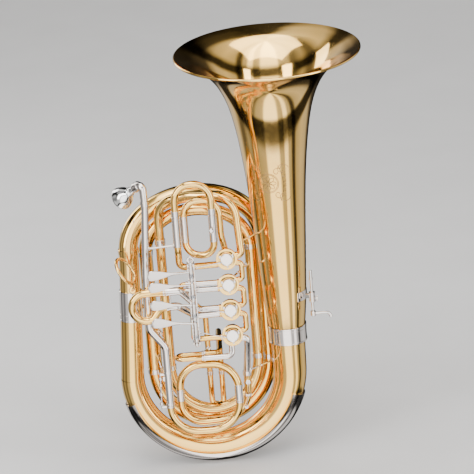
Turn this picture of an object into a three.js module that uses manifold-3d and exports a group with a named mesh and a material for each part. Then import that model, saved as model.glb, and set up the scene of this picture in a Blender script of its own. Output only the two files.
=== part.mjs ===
// Compact four-valve rotary tuba, front action, bell up.
// Millimetres, +Z up. The bell is on the +X side, the valves face -Y,
// and Z = 0 is the lowest point of the bottom bow's guard.
import * as THREE from 'three';
import { mergeVertices } from 'three/addons/utils/BufferGeometryUtils.js';
import Module from 'manifold-3d';

const wasm = await Module();
wasm.setup();

// ---- driving dimensions -------------------------------------------------------------------
const BELL_X = 158;             // bell axis
const BIG_Y = 30;               // plane of the bell, the bottom bow and the outer branch
const BELL_BOTTOM = 228;        // lower end of the bell tail
const BELL_TOP = 766;           // rim
const BELL_RADIUS = 165;        // a 330 mm bell
const RIM_FLAT = 4;             // width of the flat at the rim
const BELL_WALL = 1.6;
const BOW_RADIUS = 142;         // bottom bow: a half circle
const BOW_CENTRE_X = BELL_X - BOW_RADIUS;
const BOW_CENTRE_Z = 170.2;
const BOW_BIG_R = 31;           // tube radius at the bell end
const BOW_SMALL_R = 21;         // tube radius at the outer branch end
const GUARD = 1.6;              // guard thickness
const GUARD_GAP = 1.2;          // room under the guard for its solder and the bow's facets
const GAP = 0.3;                // between touching pieces
const WALL = 0.8;               // tube wall
const BRANCH_TOP = 414;         // where the outer branch meets the top bow

const VALVE_X = 59.5;
const VALVE_Y = -47;
const VALVE_PITCH = 48;
const VALVE_TOP_Z = 412.5;      // centre of the first valve's casing
const VALVE_TILT = THREE.MathUtils.degToRad(18);   // valve axes point a little upwards
const CASING_R = 18;
const CASING_LENGTH = 34;
const ROTOR_R = 14.7;
const STEM_R = 4;
const DISC_R = 11;
const PIN_RADIUS = 5.1;         // stop arm: valve axis to link pin
const PORT_R = 4.2;

const HINGE_X = -4;             // lever rack and hinge rod
const HINGE_Y = -98;
const ROD_R = 2;
const LEVER_ARM = 26;           // short arm: hinge rod to link
const LEVER_REACH = 78;         // hinge rod to the middle of the paddle
const LEVER_REST = THREE.MathUtils.degToRad(22);   // paddle stands this far forward at rest
const LEVER_TRAVEL = THREE.MathUtils.degToRad(16);

const TUNING_Y = -62;           // plane of the leadpipe and the tuning slide
const CROOK_Y = -76;            // plane of the third valve's slide

const valveZ = [0, 1, 2, 3].map((i) => VALVE_TOP_Z - i * VALVE_PITCH);
const paddleZ = [421, 399, 366, 333];           // height of each finger plate's middle
const stemZ = [412, 388, 350, 315];             // where each lever's stem leaves its hub
const armZ = [404, 364, 332, 286];              // height of each lever's short arm

// ---- materials ------------------------------------------------------------------------------
const brass = new THREE.MeshStandardMaterial({ color: 0xd9ad5b, roughness: 0.18, metalness: 1 });
const nickel = new THREE.MeshStandardMaterial({ color: 0xd6cdc6, roughness: 0.2, metalness: 1 });
const silver = new THREE.MeshStandardMaterial({ color: 0xe6e3e0, roughness: 0.14, metalness: 1 });
const steel = new THREE.MeshStandardMaterial({ color: 0xb4b6b8, roughness: 0.3, metalness: 1 });

// ---- group and helpers ----------------------------------------------------------------------
const tuba = new THREE.Group();

function add(name, geometry, material, parent = tuba) {
  const mesh = new THREE.Mesh(geometry, material);
  mesh.name = name;
  parent.add(mesh);
  return mesh;
}

function toSolid(geometry) {
  const bare = geometry.clone();
  bare.deleteAttribute('normal');
  bare.deleteAttribute('uv');
  const merged = mergeVertices(bare, 1e-4);
  return new wasm.Manifold(new wasm.Mesh({
    numProp: 3,
    vertProperties: new Float32Array(merged.attributes.position.array),
    triVerts: new Uint32Array(merged.index.array),
  }));
}

function fromSolid(solid) {
  const mesh = solid.getMesh();
  const geometry = new THREE.BufferGeometry();
  geometry.setAttribute('position', new THREE.BufferAttribute(mesh.vertProperties, 3));
  geometry.setIndex(new THREE.BufferAttribute(mesh.triVerts, 1));
  return geometry;
}

// Joins the first list of geometries and cuts the second list out of the result.
function carve(joined, cuts = []) {
  let solid = toSolid(joined[0]);
  for (const piece of joined.slice(1)) {
    solid = solid.add(toSolid(piece));
  }
  for (const cut of cuts) {
    solid = solid.subtract(toSolid(cut));
  }
  return fromSolid(solid);
}

// A cylinder between two points.
function rod(from, to, radius, sides = 8) {
  const a = new THREE.Vector3(...from);
  const b = new THREE.Vector3(...to);
  const along = b.clone().sub(a);
  const geometry = new THREE.CylinderGeometry(radius, radius, along.length(), sides);
  const turn = new THREE.Quaternion().setFromUnitVectors(
    new THREE.Vector3(0, 1, 0), along.clone().normalize());
  geometry.applyQuaternion(turn);
  geometry.translate(...a.add(b).multiplyScalar(0.5).toArray());
  return geometry;
}

// A lathe about +Z from a closed list of [radius, z].
function turned(profile, sides) {
  const outline = profile.map(([r, z]) => new THREE.Vector2(r, z));
  outline.push(outline[0].clone());
  const geometry = new THREE.LatheGeometry(outline, sides);
  geometry.rotateX(Math.PI / 2);
  return geometry;
}

function ringProfile(inner, outer, z0, z1) {
  return [[inner, z0], [outer, z0], [outer, z1], [inner, z1]];
}

// Straight runs joined by round bends. Each point is [x, y, z] or [x, y, z, bend radius].
function route(points, stepDegrees = 36) {
  const path = [new THREE.Vector3(...points[0])];
  for (let i = 1; i < points.length - 1; i += 1) {
    const before = new THREE.Vector3(...points[i - 1].slice(0, 3));
    const corner = new THREE.Vector3(...points[i].slice(0, 3));
    const after = new THREE.Vector3(...points[i + 1].slice(0, 3));
    const toBefore = before.sub(corner).normalize();
    const toAfter = after.sub(corner).normalize();
    const turn = Math.PI - toBefore.angleTo(toAfter);
    const bend = points[i][3] ?? 10;
    const reach = bend * Math.tan(turn / 2);
    const bisector = toBefore.clone().add(toAfter).normalize();
    const centre = corner.clone().addScaledVector(bisector, bend / Math.cos(turn / 2));
    const start = corner.clone().addScaledVector(toBefore, reach).sub(centre);
    const axis = start.clone().cross(toBefore).negate().normalize();
    const steps = Math.max(1, Math.round(THREE.MathUtils.radToDeg(turn) / stepDegrees));
    for (let s = 0; s <= steps; s += 1) {
      path.push(start.clone().applyAxisAngle(axis, (turn * s) / steps).add(centre));
    }
  }
  path.push(new THREE.Vector3(...points.at(-1).slice(0, 3)));
  return path.filter((p, i) => i === 0 || p.distanceTo(path[i - 1]) > 0.05);
}

// A half ellipse in X and Z, from one angle to another, with Y changing evenly on the way.
function arch(x, z, halfWidth, height, fromDegrees, toDegrees, yFrom, yTo, steps) {
  return Array.from({ length: steps + 1 }, (_, i) => {
    const angle = THREE.MathUtils.degToRad(fromDegrees + ((toDegrees - fromDegrees) * i) / steps);
    const y = yFrom + ((yTo - yFrom) * i) / steps;
    return new THREE.Vector3(x + halfWidth * Math.cos(angle), y, z + height * Math.sin(angle));
  });
}

// An open-ended tube along a path, as one closed body. The radius changes evenly with length.
// Upright ends are cut level.
function pipe(path, startRadius, endRadius = startRadius, { wall = WALL, upright = false } = {}) {
  const biggest = Math.max(startRadius, endRadius);
  const sides = biggest < 6 ? 6 : biggest < 14 ? 8 : 12;
  const lengths = [0];
  for (let i = 1; i < path.length; i += 1) {
    lengths.push(lengths[i - 1] + path[i].distanceTo(path[i - 1]));
  }
  const positions = [];
  let side = null;
  path.forEach((point, i) => {
    const before = path[Math.max(i - 1, 0)];
    const after = path[Math.min(i + 1, path.length - 1)];
    const along = after.clone().sub(before);
    if (upright && (i === 0 || i === path.length - 1)) {
      along.setX(0).setY(0);
    }
    along.normalize();
    if (side === null) {
      side = Math.abs(along.y) > 0.9 ? new THREE.Vector3(1, 0, 0) : new THREE.Vector3(0, 1, 0);
    }
    side.addScaledVector(along, -side.dot(along)).normalize();
    const up = along.clone().cross(side);
    const share = lengths[i] / lengths.at(-1);
    const outer = startRadius + (endRadius - startRadius) * share;
    for (const radius of [outer, outer - wall]) {
      for (let k = 0; k < sides; k += 1) {
        const angle = (2 * Math.PI * k) / sides;
        positions.push(...point.clone()
          .addScaledVector(side, radius * Math.cos(angle))
          .addScaledVector(up, radius * Math.sin(angle)).toArray());
      }
    }
  });
  const index = [];
  const ring = 2 * sides;
  const quad = (a, b, c, d) => index.push(a, b, c, a, c, d);
  for (let k = 0; k < sides; k += 1) {
    const next = (k + 1) % sides;
    for (let i = 0; i < path.length - 1; i += 1) {
      const low = i * ring;
      const high = low + ring;
      quad(low + k, low + next, high + next, high + k);
      quad(low + sides + next, low + sides + k, high + sides + k, high + sides + next);
    }
    const last = (path.length - 1) * ring;
    quad(next, k, sides + k, sides + next);
    quad(last + k, last + next, last + sides + next, last + sides + k);
  }
  const geometry = new THREE.BufferGeometry();
  geometry.setAttribute('position', new THREE.Float32BufferAttribute(positions, 3));
  geometry.setIndex(index);
  return geometry;
}

// The radius of a sliding leg that clears the inside of a tube of a given radius.
function legRadius(tubeRadius) {
  return (tubeRadius - WALL) * Math.cos(Math.PI / 6) - 0.3;
}

// ---- bell -----------------------------------------------------------------------------------
// Height above the tail and radius of the bell's outside.
const bellCurve = [
  [0, 30.2], [70, 38], [175, 44.5], [270, 50.5], [340, 57], [400, 65.5], [445, 76],
  [480, 91], [505, 110], [522, 131], [532, 150], [BELL_TOP - BELL_BOTTOM, BELL_RADIUS],
];

function bell() {
  const outside = bellCurve.map(([h, r]) => [r, BELL_BOTTOM + h]);
  const inside = bellCurve.slice(0, -1).map(([h, r]) => [r - BELL_WALL, BELL_BOTTOM + h]);
  inside.push([BELL_RADIUS - RIM_FLAT, BELL_TOP]);
  for (const point of inside) {
    point[1] += point[0] > 60 && point[1] < BELL_TOP ? BELL_WALL * (point[0] - 60) / 100 : 0;
  }
  const geometry = turned([...outside, ...inside.reverse()], 24);
  geometry.translate(BELL_X, BIG_Y, 0);
  return geometry;
}
add('bell', bell(), brass);

const bellFerrule = turned(ringProfile(33.2, 34.6, BELL_BOTTOM - 6, BELL_BOTTOM + 25), 28);
bellFerrule.translate(BELL_X, BIG_Y, 0);
add('bell_ferrule', bellFerrule, nickel);

// ---- bottom bow, outer branch and top bow ---------------------------------------------------------
const bowRight = new THREE.Vector3(BELL_X, BIG_Y, BELL_BOTTOM - GAP);
const bottomPath = [
  bowRight,
  ...arch(BOW_CENTRE_X, BOW_CENTRE_Z, BOW_RADIUS, BOW_RADIUS, 0, -180, BIG_Y, BIG_Y, 12),
];
add('bottom_bow', pipe(bottomPath, BOW_BIG_R, BOW_SMALL_R, { wall: 1, upright: true }), brass);

// The guard is a shell round the outer side of the bow's section, along its lower part.
function guard() {
  const startDegrees = -18;
  const endDegrees = -162;
  const steps = 16;
  const half = THREE.MathUtils.degToRad(78);
  const across = 9;
  const bowTop = BELL_BOTTOM - GAP - BOW_CENTRE_Z;
  const bowLength = bowTop + Math.PI * BOW_RADIUS;
  const positions = [];
  for (let i = 0; i <= steps; i += 1) {
    const degrees = startDegrees + ((endDegrees - startDegrees) * i) / steps;
    const angle = THREE.MathUtils.degToRad(degrees);
    const share = (bowTop - angle * BOW_RADIUS) / bowLength;
    const tube = BOW_BIG_R + (BOW_SMALL_R - BOW_BIG_R) * share + GUARD_GAP;
    for (const radius of [tube + GUARD, tube]) {
      for (let k = 0; k <= across; k += 1) {
        const turn = -half + (2 * half * k) / across;
        const out = BOW_RADIUS + radius * Math.cos(turn);
        positions.push(BOW_CENTRE_X + out * Math.cos(angle),
          BIG_Y + radius * Math.sin(turn), BOW_CENTRE_Z + out * Math.sin(angle));
      }
    }
  }
  const index = [];
  const row = across + 1;
  const ring = 2 * row;
  const quad = (a, b, c, d) => index.push(a, c, b, a, d, c);
  for (let i = 0; i < steps; i += 1) {
    const low = i * ring;
    const high = low + ring;
    for (let k = 0; k < across; k += 1) {
      quad(low + k, low + k + 1, high + k + 1, high + k);
      quad(low + row + k + 1, low + row + k, high + row + k, high + row + k + 1);
    }
    quad(low + row, low, high, high + row);
    quad(low + across, low + row + across, high + row + across, high + across);
  }
  const last = steps * ring;
  for (let k = 0; k < across; k += 1) {
    quad(k + 1, k, row + k, row + k + 1);
    quad(last + k, last + k + 1, last + row + k + 1, last + row + k);
  }
  const geometry = new THREE.BufferGeometry();
  geometry.setAttribute('position', new THREE.Float32BufferAttribute(positions, 3));
  geometry.setIndex(index);
  return geometry;
}
add('bottom_bow_guard', guard(), nickel);

const BRANCH_LOW_X = BOW_CENTRE_X - BOW_RADIUS;
const BRANCH_TOP_X = -113.5;
const outerBranch = [
  new THREE.Vector3(BRANCH_LOW_X, BIG_Y, BOW_CENTRE_Z + GAP),
  new THREE.Vector3(-117.5, BIG_Y, 300),
  new THREE.Vector3(BRANCH_TOP_X, BIG_Y, BRANCH_TOP - GAP),
];
add('outer_branch', pipe(outerBranch, 20.8, 17.4, { wall: 1, upright: true }), brass);

const branchFerrule = pipe([
  new THREE.Vector3(-118.5, BIG_Y, 284), new THREE.Vector3(-116.1, BIG_Y, 340),
], 20.7, 20, { wall: 0.6, upright: true });
add('branch_ferrule', branchFerrule, nickel);

const RETURN_X = 122;           // wide inner branch, behind the bell
const RETURN_Y = 84;
const TOP_RISE = 91;
const topMiddleX = (BRANCH_TOP_X + RETURN_X) / 2;
const topHalf = (RETURN_X - BRANCH_TOP_X) / 2;
add('top_bow', pipe(
  arch(topMiddleX, BRANCH_TOP, topHalf, TOP_RISE, 180, 0, BIG_Y, RETURN_Y, 12),
  17.2, 15.2, { wall: 1, upright: true }), brass);

// ---- inner loops: the tube narrows from here back to the valves -------------------------------------
const INNER_LEFT_X = -84;
const INNER_LEFT_Y = 50;
const INNER_SPRING = 175;       // where the wide inner bow starts
const INNER_TOP = 400;          // where the inner loop turns over at the top
const SMALL_RIGHT_X = 103;
const SMALL_RIGHT_Y = 50;
const SMALL_LEFT_X = -56;
const SMALL_LEFT_Y = 20;
const SMALL_SPRING = 190;
// Down behind the bell, round the bottom, up on the left and over the top, then once more
// inside that, narrowing all the way.
add('inner_loops', pipe([
  new THREE.Vector3(RETURN_X, RETURN_Y, BRANCH_TOP - GAP),
  ...arch((INNER_LEFT_X + RETURN_X) / 2, INNER_SPRING, (RETURN_X - INNER_LEFT_X) / 2, 108,
    0, -180, RETURN_Y, INNER_LEFT_Y, 10),
  ...arch((INNER_LEFT_X + SMALL_RIGHT_X) / 2, INNER_TOP, (SMALL_RIGHT_X - INNER_LEFT_X) / 2, 76,
    180, 0, INNER_LEFT_Y, SMALL_RIGHT_Y, 9),
  ...arch((SMALL_LEFT_X + SMALL_RIGHT_X) / 2, SMALL_SPRING, (SMALL_RIGHT_X - SMALL_LEFT_X) / 2, 92,
    0, -180, SMALL_RIGHT_Y, SMALL_LEFT_Y, 9),
  new THREE.Vector3(SMALL_LEFT_X, SMALL_LEFT_Y, 430),
], 15, 8.3, { upright: true }), brass);

// From the first valve up and over to the small riser.
add('valve_outlet_bow', pipe(route([
  [VALVE_X + CASING_R + 0.5, VALVE_Y, 418], [86, VALVE_Y, 418, 7.8], [80, -38, 526, 38],
  [0, -4, 522, 60],
  [SMALL_LEFT_X, SMALL_LEFT_Y, 505, 45], [SMALL_LEFT_X, SMALL_LEFT_Y, 430 + GAP],
]), 6.6, 8.2), brass);

// ---- leadpipe, tuning slide and the spiral into the fourth valve -----------------------------------
const TUNING_LEFT_X = -60;
const TUNING_RIGHT_X = 63;
const TUNING_Z = 150;           // where the tuning slide's legs start
const MOUTHPIECE_AXIS = new THREE.Vector3(-0.55, 0.6, -0.58).normalize();
const RECEIVER_CORNER = new THREE.Vector3(-77, TUNING_Y, 572);
const RECEIVER_REACH = 26;      // corner to the receiver's mouth
const SHANK_INSERT = 10;
const receiverMouth = RECEIVER_CORNER.clone().addScaledVector(MOUTHPIECE_AXIS, RECEIVER_REACH);
add('mouthpiece_receiver', pipe(route([
  receiverMouth.toArray(), [...RECEIVER_CORNER.toArray(), 8], [-75.5, TUNING_Y, 530],
]), 7.6, 7), nickel);
add('leadpipe', pipe(route([
  [-75.5, TUNING_Y, 530 - 1.2], [-84, TUNING_Y, 400, 300], [-86, TUNING_Y, 296, 26],
  [TUNING_LEFT_X, TUNING_Y, 262, 26], [TUNING_LEFT_X, TUNING_Y, TUNING_Z],
]), 6.4, 7), nickel);
const TUNING_R = 7;
const tuningLeg = legRadius(TUNING_R);
const TUNING_INSERT = 26;
add('tuning_slide', pipe(route([
  [TUNING_LEFT_X, TUNING_Y, TUNING_Z + TUNING_INSERT], [TUNING_LEFT_X, TUNING_Y, 96, 50],
  [TUNING_RIGHT_X, TUNING_Y, 96, 52], [TUNING_RIGHT_X, TUNING_Y, TUNING_Z + TUNING_INSERT],
], 32), tuningLeg), brass);
const SPIRAL_LEFT_X = -41;
const SPIRAL_Y = -44;
add('upper_return_bow', pipe(route([
  [TUNING_RIGHT_X, TUNING_Y, TUNING_Z], [TUNING_RIGHT_X, TUNING_Y, 219, 44],
  [SPIRAL_LEFT_X, SPIRAL_Y, 219, 46], [SPIRAL_LEFT_X, SPIRAL_Y, TUNING_Z],
], 32), TUNING_R), nickel);
const LOWER_RETURN_X = 80;
const LOWER_RETURN_Y = -36;
const KEY_X = 79.5;             // water key's pin
const KEY_Y = LOWER_RETURN_Y - 12;
const KEY_Z = 152;
const lowerReturn = pipe(route([
  [SPIRAL_LEFT_X, SPIRAL_Y, TUNING_Z - GAP], [SPIRAL_LEFT_X, SPIRAL_Y, 104, 42],
  [LOWER_RETURN_X, LOWER_RETURN_Y, 104, 56], [LOWER_RETURN_X, LOWER_RETURN_Y, 190],
  [LOWER_RETURN_X + 6, VALVE_Y, 262, 7.6], [VALVE_X + CASING_R + 0.5, VALVE_Y, 262],
], 32), 6.8, 6);
const keyLugs = [-4, 4].map((x) => {
  const lug = new THREE.BoxGeometry(1.6, 12, 6);
  lug.translate(KEY_X + x, KEY_Y + 4, KEY_Z);
  return lug;
});
const keyPinHole = rod([KEY_X - 6, KEY_Y, KEY_Z], [KEY_X + 6, KEY_Y, KEY_Z], 1.1);
add('lower_return_bow', carve([lowerReturn, ...keyLugs], [keyPinHole]), brass);

// Water key: a rocking lever on a pin, with a touch above and a pad below.
function waterKey() {
  const pin = rod([KEY_X - 5.6, KEY_Y, KEY_Z], [KEY_X + 5.6, KEY_Y, KEY_Z], 0.8);
  const hub = rod([KEY_X - 2.8, KEY_Y, KEY_Z], [KEY_X + 2.8, KEY_Y, KEY_Z], 2.2);
  const touchArm = rod([KEY_X, KEY_Y, KEY_Z], [KEY_X + 1, KEY_Y - 7, KEY_Z + 26], 1.3, 6);
  const touch = rod([KEY_X + 1, KEY_Y - 6.3, KEY_Z + 27], [KEY_X + 1, KEY_Y - 7.9, KEY_Z + 26.6], 4.5, 10);
  const padArm = rod([KEY_X, KEY_Y, KEY_Z], [KEY_X - 5, KEY_Y - 1.5, KEY_Z - 22], 1.3, 6);
  const pad = rod([KEY_X - 5, KEY_Y - 2.4, KEY_Z - 22], [KEY_X - 5, KEY_Y + 2.6, KEY_Z - 22], 3.2, 10);
  return carve([pin, hub, touchArm, touch, padArm, pad]);
}
add('water_key', waterKey(), nickel);

// ---- mouthpiece -----------------------------------------------------------------------------------
// Along +Z from the shank's tip to the rim: outside, then inside.
const MOUTHPIECE_LENGTH = 56;
const mouthpieceProfile = [
  [4.9, 0], [5.6, 20], [8.4, 24], [6.8, 28], [10.5, 34], [17, 42], [19.5, 51], [20.6, 54],
  [19.5, MOUTHPIECE_LENGTH], [16.5, MOUTHPIECE_LENGTH], [15.5, 53], [13, 40], [3.2, 28], [3.6, 0],
];
const mouthpiece = add('mouthpiece', turned(mouthpieceProfile, 18), silver);
mouthpiece.quaternion.setFromUnitVectors(new THREE.Vector3(0, 0, 1), MOUTHPIECE_AXIS);
mouthpiece.position.copy(receiverMouth).addScaledVector(MOUTHPIECE_AXIS, -SHANK_INSERT);

// ---- valves ---------------------------------------------------------------------------------------
const HALF = CASING_LENGTH / 2;
const FRONT_PLATE = 3;
const STEM_FRONT = -HALF - 6;
const PIN_FRONT = -HALF - 12;
const DISC_FRONT = -HALF - 20;
const CAP_LENGTH = 6;

function casing() {
  const outer = new THREE.CylinderGeometry(CASING_R, CASING_R, CASING_LENGTH, 14);
  const bore = new THREE.CylinderGeometry(ROTOR_R + 0.7, ROTOR_R + 0.7, CASING_LENGTH, 12);
  bore.translate(0, FRONT_PLATE, 0);
  const stemHole = new THREE.CylinderGeometry(STEM_R + 0.5, STEM_R + 0.5, CASING_LENGTH + 2, 10);
  const sidePort = rod([-CASING_R - 1, 0, 0], [CASING_R + 1, 0, 0], PORT_R, 6);
  const uprightPort = rod([0, 0, -CASING_R - 1], [0, 0, CASING_R + 1], PORT_R, 6);
  return carve([outer], [bore, stemHole, sidePort, uprightPort]);
}

// The rotor: a cylinder with a scooped passage on each side, and its stem.
function rotor() {
  const length = CASING_LENGTH - FRONT_PLATE - CAP_LENGTH - 1;
  const body = new THREE.CylinderGeometry(ROTOR_R, ROTOR_R, length, 12);
  const scoops = [1, -1].map((s) => rod([s * 15, 0, s * 15 - 12], [s * 15, 0, s * 15 + 12], 7));
  const stem = rod([0, 0, 0], [0, STEM_FRONT - FRONT_PLATE + HALF - 10.5, 0], STEM_R, 10);
  const shaped = carve([body], scoops);
  const joined = carve([shaped, stem]);
  joined.translate(0, -HALF + FRONT_PLATE + 0.5 + length / 2, 0);
  return joined;
}

function rearCap() {
  const plug = new THREE.CylinderGeometry(ROTOR_R + 0.3, ROTOR_R + 0.3, CAP_LENGTH, 12);
  plug.translate(0, HALF - CAP_LENGTH / 2 + 0.4, 0);
  const flange = new THREE.CylinderGeometry(CASING_R + 0.6, CASING_R + 0.6, 2.4, 16);
  flange.translate(0, HALF + 1.6, 0);
  return carve([plug, flange]);
}

// Stop arm: a hub on the stem, an arm with the link's pin, and the round cap in front.
function stopArm() {
  const hubBack = -HALF - 2;
  const hubFront = -HALF - 8;
  const pin = -PIN_RADIUS * Math.SQRT1_2;
  const hub = rod([0, hubBack, 0], [0, hubFront, 0], 5.6, 10);
  const stemHole = rod([0, hubBack + 1, 0], [0, hubFront + 1.5, 0], STEM_R + 0.4, 10);
  const neck = rod([0, hubFront + 1, 0], [0, DISC_FRONT + 2, 0], 1.3, 6);
  const boss = rod([pin, hubFront + 1, pin], [pin, PIN_FRONT, pin], 1.6);
  const disc = rod([0, DISC_FRONT + 3, 0], [0, DISC_FRONT, 0], DISC_R, 18);
  return carve([hub, neck, boss, disc], [stemHole]);
}

valveZ.forEach((z, i) => {
  const set = new THREE.Group();
  set.position.set(VALVE_X, VALVE_Y, z);
  set.rotation.x = VALVE_TILT * -1;
  tuba.add(set);
  add(`valve_casing_${i + 1}`, casing(), brass, set);
  add(`rotor_${i + 1}`, rotor(), brass, set);
  add(`valve_rear_cap_${i + 1}`, rearCap(), nickel, set);
  add(`stop_arm_${i + 1}`, stopArm(), nickel, set);
});

// Bows on the right of the valves, each joining two neighbours.
const PORT_OFFSET = 8;
const KNUCKLE_R = 5;
const sideFace = VALVE_X + CASING_R + 0.5;
for (let i = 0; i < 3; i += 1) {
  const high = valveZ[i] - PORT_OFFSET;
  const low = valveZ[i + 1] + PORT_OFFSET;
  add(`valve_knuckle_${i + 1}`, pipe(route([
    [sideFace, VALVE_Y, high], [sideFace + 7, VALVE_Y, high, 6.5],
    [sideFace + 7, VALVE_Y, low, 6.5], [sideFace, VALVE_Y, low],
  ], 45), KNUCKLE_R), brass);
}

// ---- first valve's slide: two loops above the rack ---------------------------------------------------
const LOOP_R = 6.5;
const loopLeg = legRadius(LOOP_R);
const leftFace = VALVE_X - CASING_R - 0.5;
const LOOP_LEFT_X = -24;
const LOOP_RIGHT_X = 40;
const LOOP_FRONT_Y = -66;
const LOOP_BACK_Y = -51;
const LOOP_INNER_LEFT_X = -10;
const LOOP_INNER_RIGHT_X = 53;
const CROOK_FOOT = 505;         // where the crook's legs enter
const CROOK_INSERT = 22;
// Out of the valve and up: the first sleeve of the crook.
const leftLeg = pipe(route([
  [leftFace, VALVE_Y, 404], [LOOP_LEFT_X, -50, 404, 14], [LOOP_LEFT_X, LOOP_FRONT_Y, 440, 30],
  [LOOP_LEFT_X, LOOP_FRONT_Y, CROOK_FOOT],
]), 5.6, LOOP_R);
add('slide_1_left_sleeve', leftLeg, nickel);
add('slide_1_crook', pipe(route([
  [LOOP_LEFT_X, LOOP_FRONT_Y, CROOK_FOOT - CROOK_INSERT], [LOOP_LEFT_X, LOOP_FRONT_Y, 563, 31],
  [LOOP_RIGHT_X, LOOP_FRONT_Y, 563, 31], [LOOP_RIGHT_X, LOOP_FRONT_Y, CROOK_FOOT - CROOK_INSERT],
], 32), loopLeg), brass);
// The second sleeve, round below it, up and over again and down into the valve.
add('slide_1_inner_loop', pipe(route([
  [LOOP_RIGHT_X, LOOP_FRONT_Y, CROOK_FOOT], [LOOP_RIGHT_X, LOOP_FRONT_Y, 428, 24],
  [LOOP_INNER_LEFT_X, LOOP_BACK_Y, 428, 24], [LOOP_INNER_LEFT_X, LOOP_BACK_Y, 527, 28],
  [LOOP_INNER_RIGHT_X, LOOP_BACK_Y, 527, 30], [LOOP_INNER_RIGHT_X, LOOP_BACK_Y, 460, 60],
  [VALVE_X - 1, VALVE_Y + 1, valveZ[0] + CASING_R + 4],
], 32), LOOP_R, 5.6), brass);

// ---- second, third and fourth valve's slides -----------------------------------------------------------
const SMALL_R = 4.6;
const smallLeg = legRadius(SMALL_R);
const PAIR = 6;                 // tube centres above and below the valve's centre
const SLEEVE_END_X = -16;
const pairZ = (valve) => [valveZ[valve] + PAIR, valveZ[valve] - PAIR];
const crook2 = pairZ(1);
const braceAt = (x, y, z) => rod([x, y, z[0] - 3.6], [x, y, z[1] + 3.6], 1.4, 6);
add('slide_2_sleeves', carve([
  ...crook2.map((z) => pipe([
    new THREE.Vector3(leftFace, VALVE_Y, z), new THREE.Vector3(SLEEVE_END_X, VALVE_Y, z),
  ], SMALL_R)),
  braceAt(6, VALVE_Y, crook2),
]), nickel);
add('slide_2_crook', pipe(route([
  [SLEEVE_END_X + 20, VALVE_Y, crook2[0]], [SLEEVE_END_X - 9, VALVE_Y, crook2[0], 5.9],
  [SLEEVE_END_X - 9, VALVE_Y, crook2[1], 5.9], [SLEEVE_END_X + 20, VALVE_Y, crook2[1]],
], 45), smallLeg), brass);

const SLEEVE_3_END = -52;
const crook3 = [370.5, 342.5];  // heights of the two sleeves
const CROOK_3_LOW = 318.5;      // the crook's return leg
const CROOK_3_END_X = -113;
const CROOK_3_R = 7;
const sleeve3Rise = [[6, -26], [-2, -32]];   // where each sleeve starts and stops rising
add('slide_3_sleeves', carve([
  ...pairZ(2).map((z, i) => pipe(route([
    [leftFace, VALVE_Y, z], [sleeve3Rise[i][0], VALVE_Y - 2, z, 10],
    [sleeve3Rise[i][1], CROOK_Y, crook3[i], 10], [SLEEVE_3_END, CROOK_Y, crook3[i]],
  ]), 5, CROOK_3_R)),
  rod([-45, CROOK_Y + 2, crook3[0] - 6.2], [-45, CROOK_Y + 2, crook3[1] + 6.2], 1.6, 6),
]), nickel);
add('slide_3_crook', pipe(route([
  [SLEEVE_3_END + 12, CROOK_Y, crook3[0]], [CROOK_3_END_X, CROOK_Y, crook3[0], 25.5],
  [CROOK_3_END_X, CROOK_Y, CROOK_3_LOW, 25.5], [-79.5, CROOK_Y, CROOK_3_LOW, 16],
  [-61.5, CROOK_Y, crook3[1], 16], [SLEEVE_3_END + 12, CROOK_Y, crook3[1]],
], 32), legRadius(CROOK_3_R)), brass);

const REAR_Y = 78;
const REAR_X = [13, 34];
const REAR_BOTTOM = 88;
const SLIDE_4_Z = 234;
const SLIDE_4_END = 6;
add('fourth_valve_long_loop', pipe(route([
  [leftFace, VALVE_Y, 266], [REAR_X[0] - 22, VALVE_Y, 266, 12], [REAR_X[0] - 22, REAR_Y, 266, 14],
  [REAR_X[0], REAR_Y, 266, 10], [REAR_X[0], REAR_Y, REAR_BOTTOM, 10],
  [REAR_X[1], REAR_Y, REAR_BOTTOM, 10], [REAR_X[1], REAR_Y, SLIDE_4_Z, 14],
  [REAR_X[1], VALVE_Y + 9, SLIDE_4_Z, 9], [SLIDE_4_END, VALVE_Y + 9, SLIDE_4_Z],
], 45), 5.2), brass);
const SLIDE_4_FRONT_Y = -60;
add('slide_4_return', pipe(route([
  [SLIDE_4_END, SLIDE_4_FRONT_Y, SLIDE_4_Z], [VALVE_X - 3, SLIDE_4_FRONT_Y, SLIDE_4_Z, 9],
  [VALVE_X - 3, VALVE_Y - 4, valveZ[3] - CASING_R - 3],
], 45), 5.2), nickel);
add('slide_4_crook', pipe(route([
  [SLIDE_4_END + 14, VALVE_Y + 9, SLIDE_4_Z], [-42, VALVE_Y + 9, SLIDE_4_Z, 10.5],
  [-42, SLIDE_4_FRONT_Y, SLIDE_4_Z, 10.5], [SLIDE_4_END + 14, SLIDE_4_FRONT_Y, SLIDE_4_Z],
], 45), legRadius(5.2)), brass);

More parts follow.
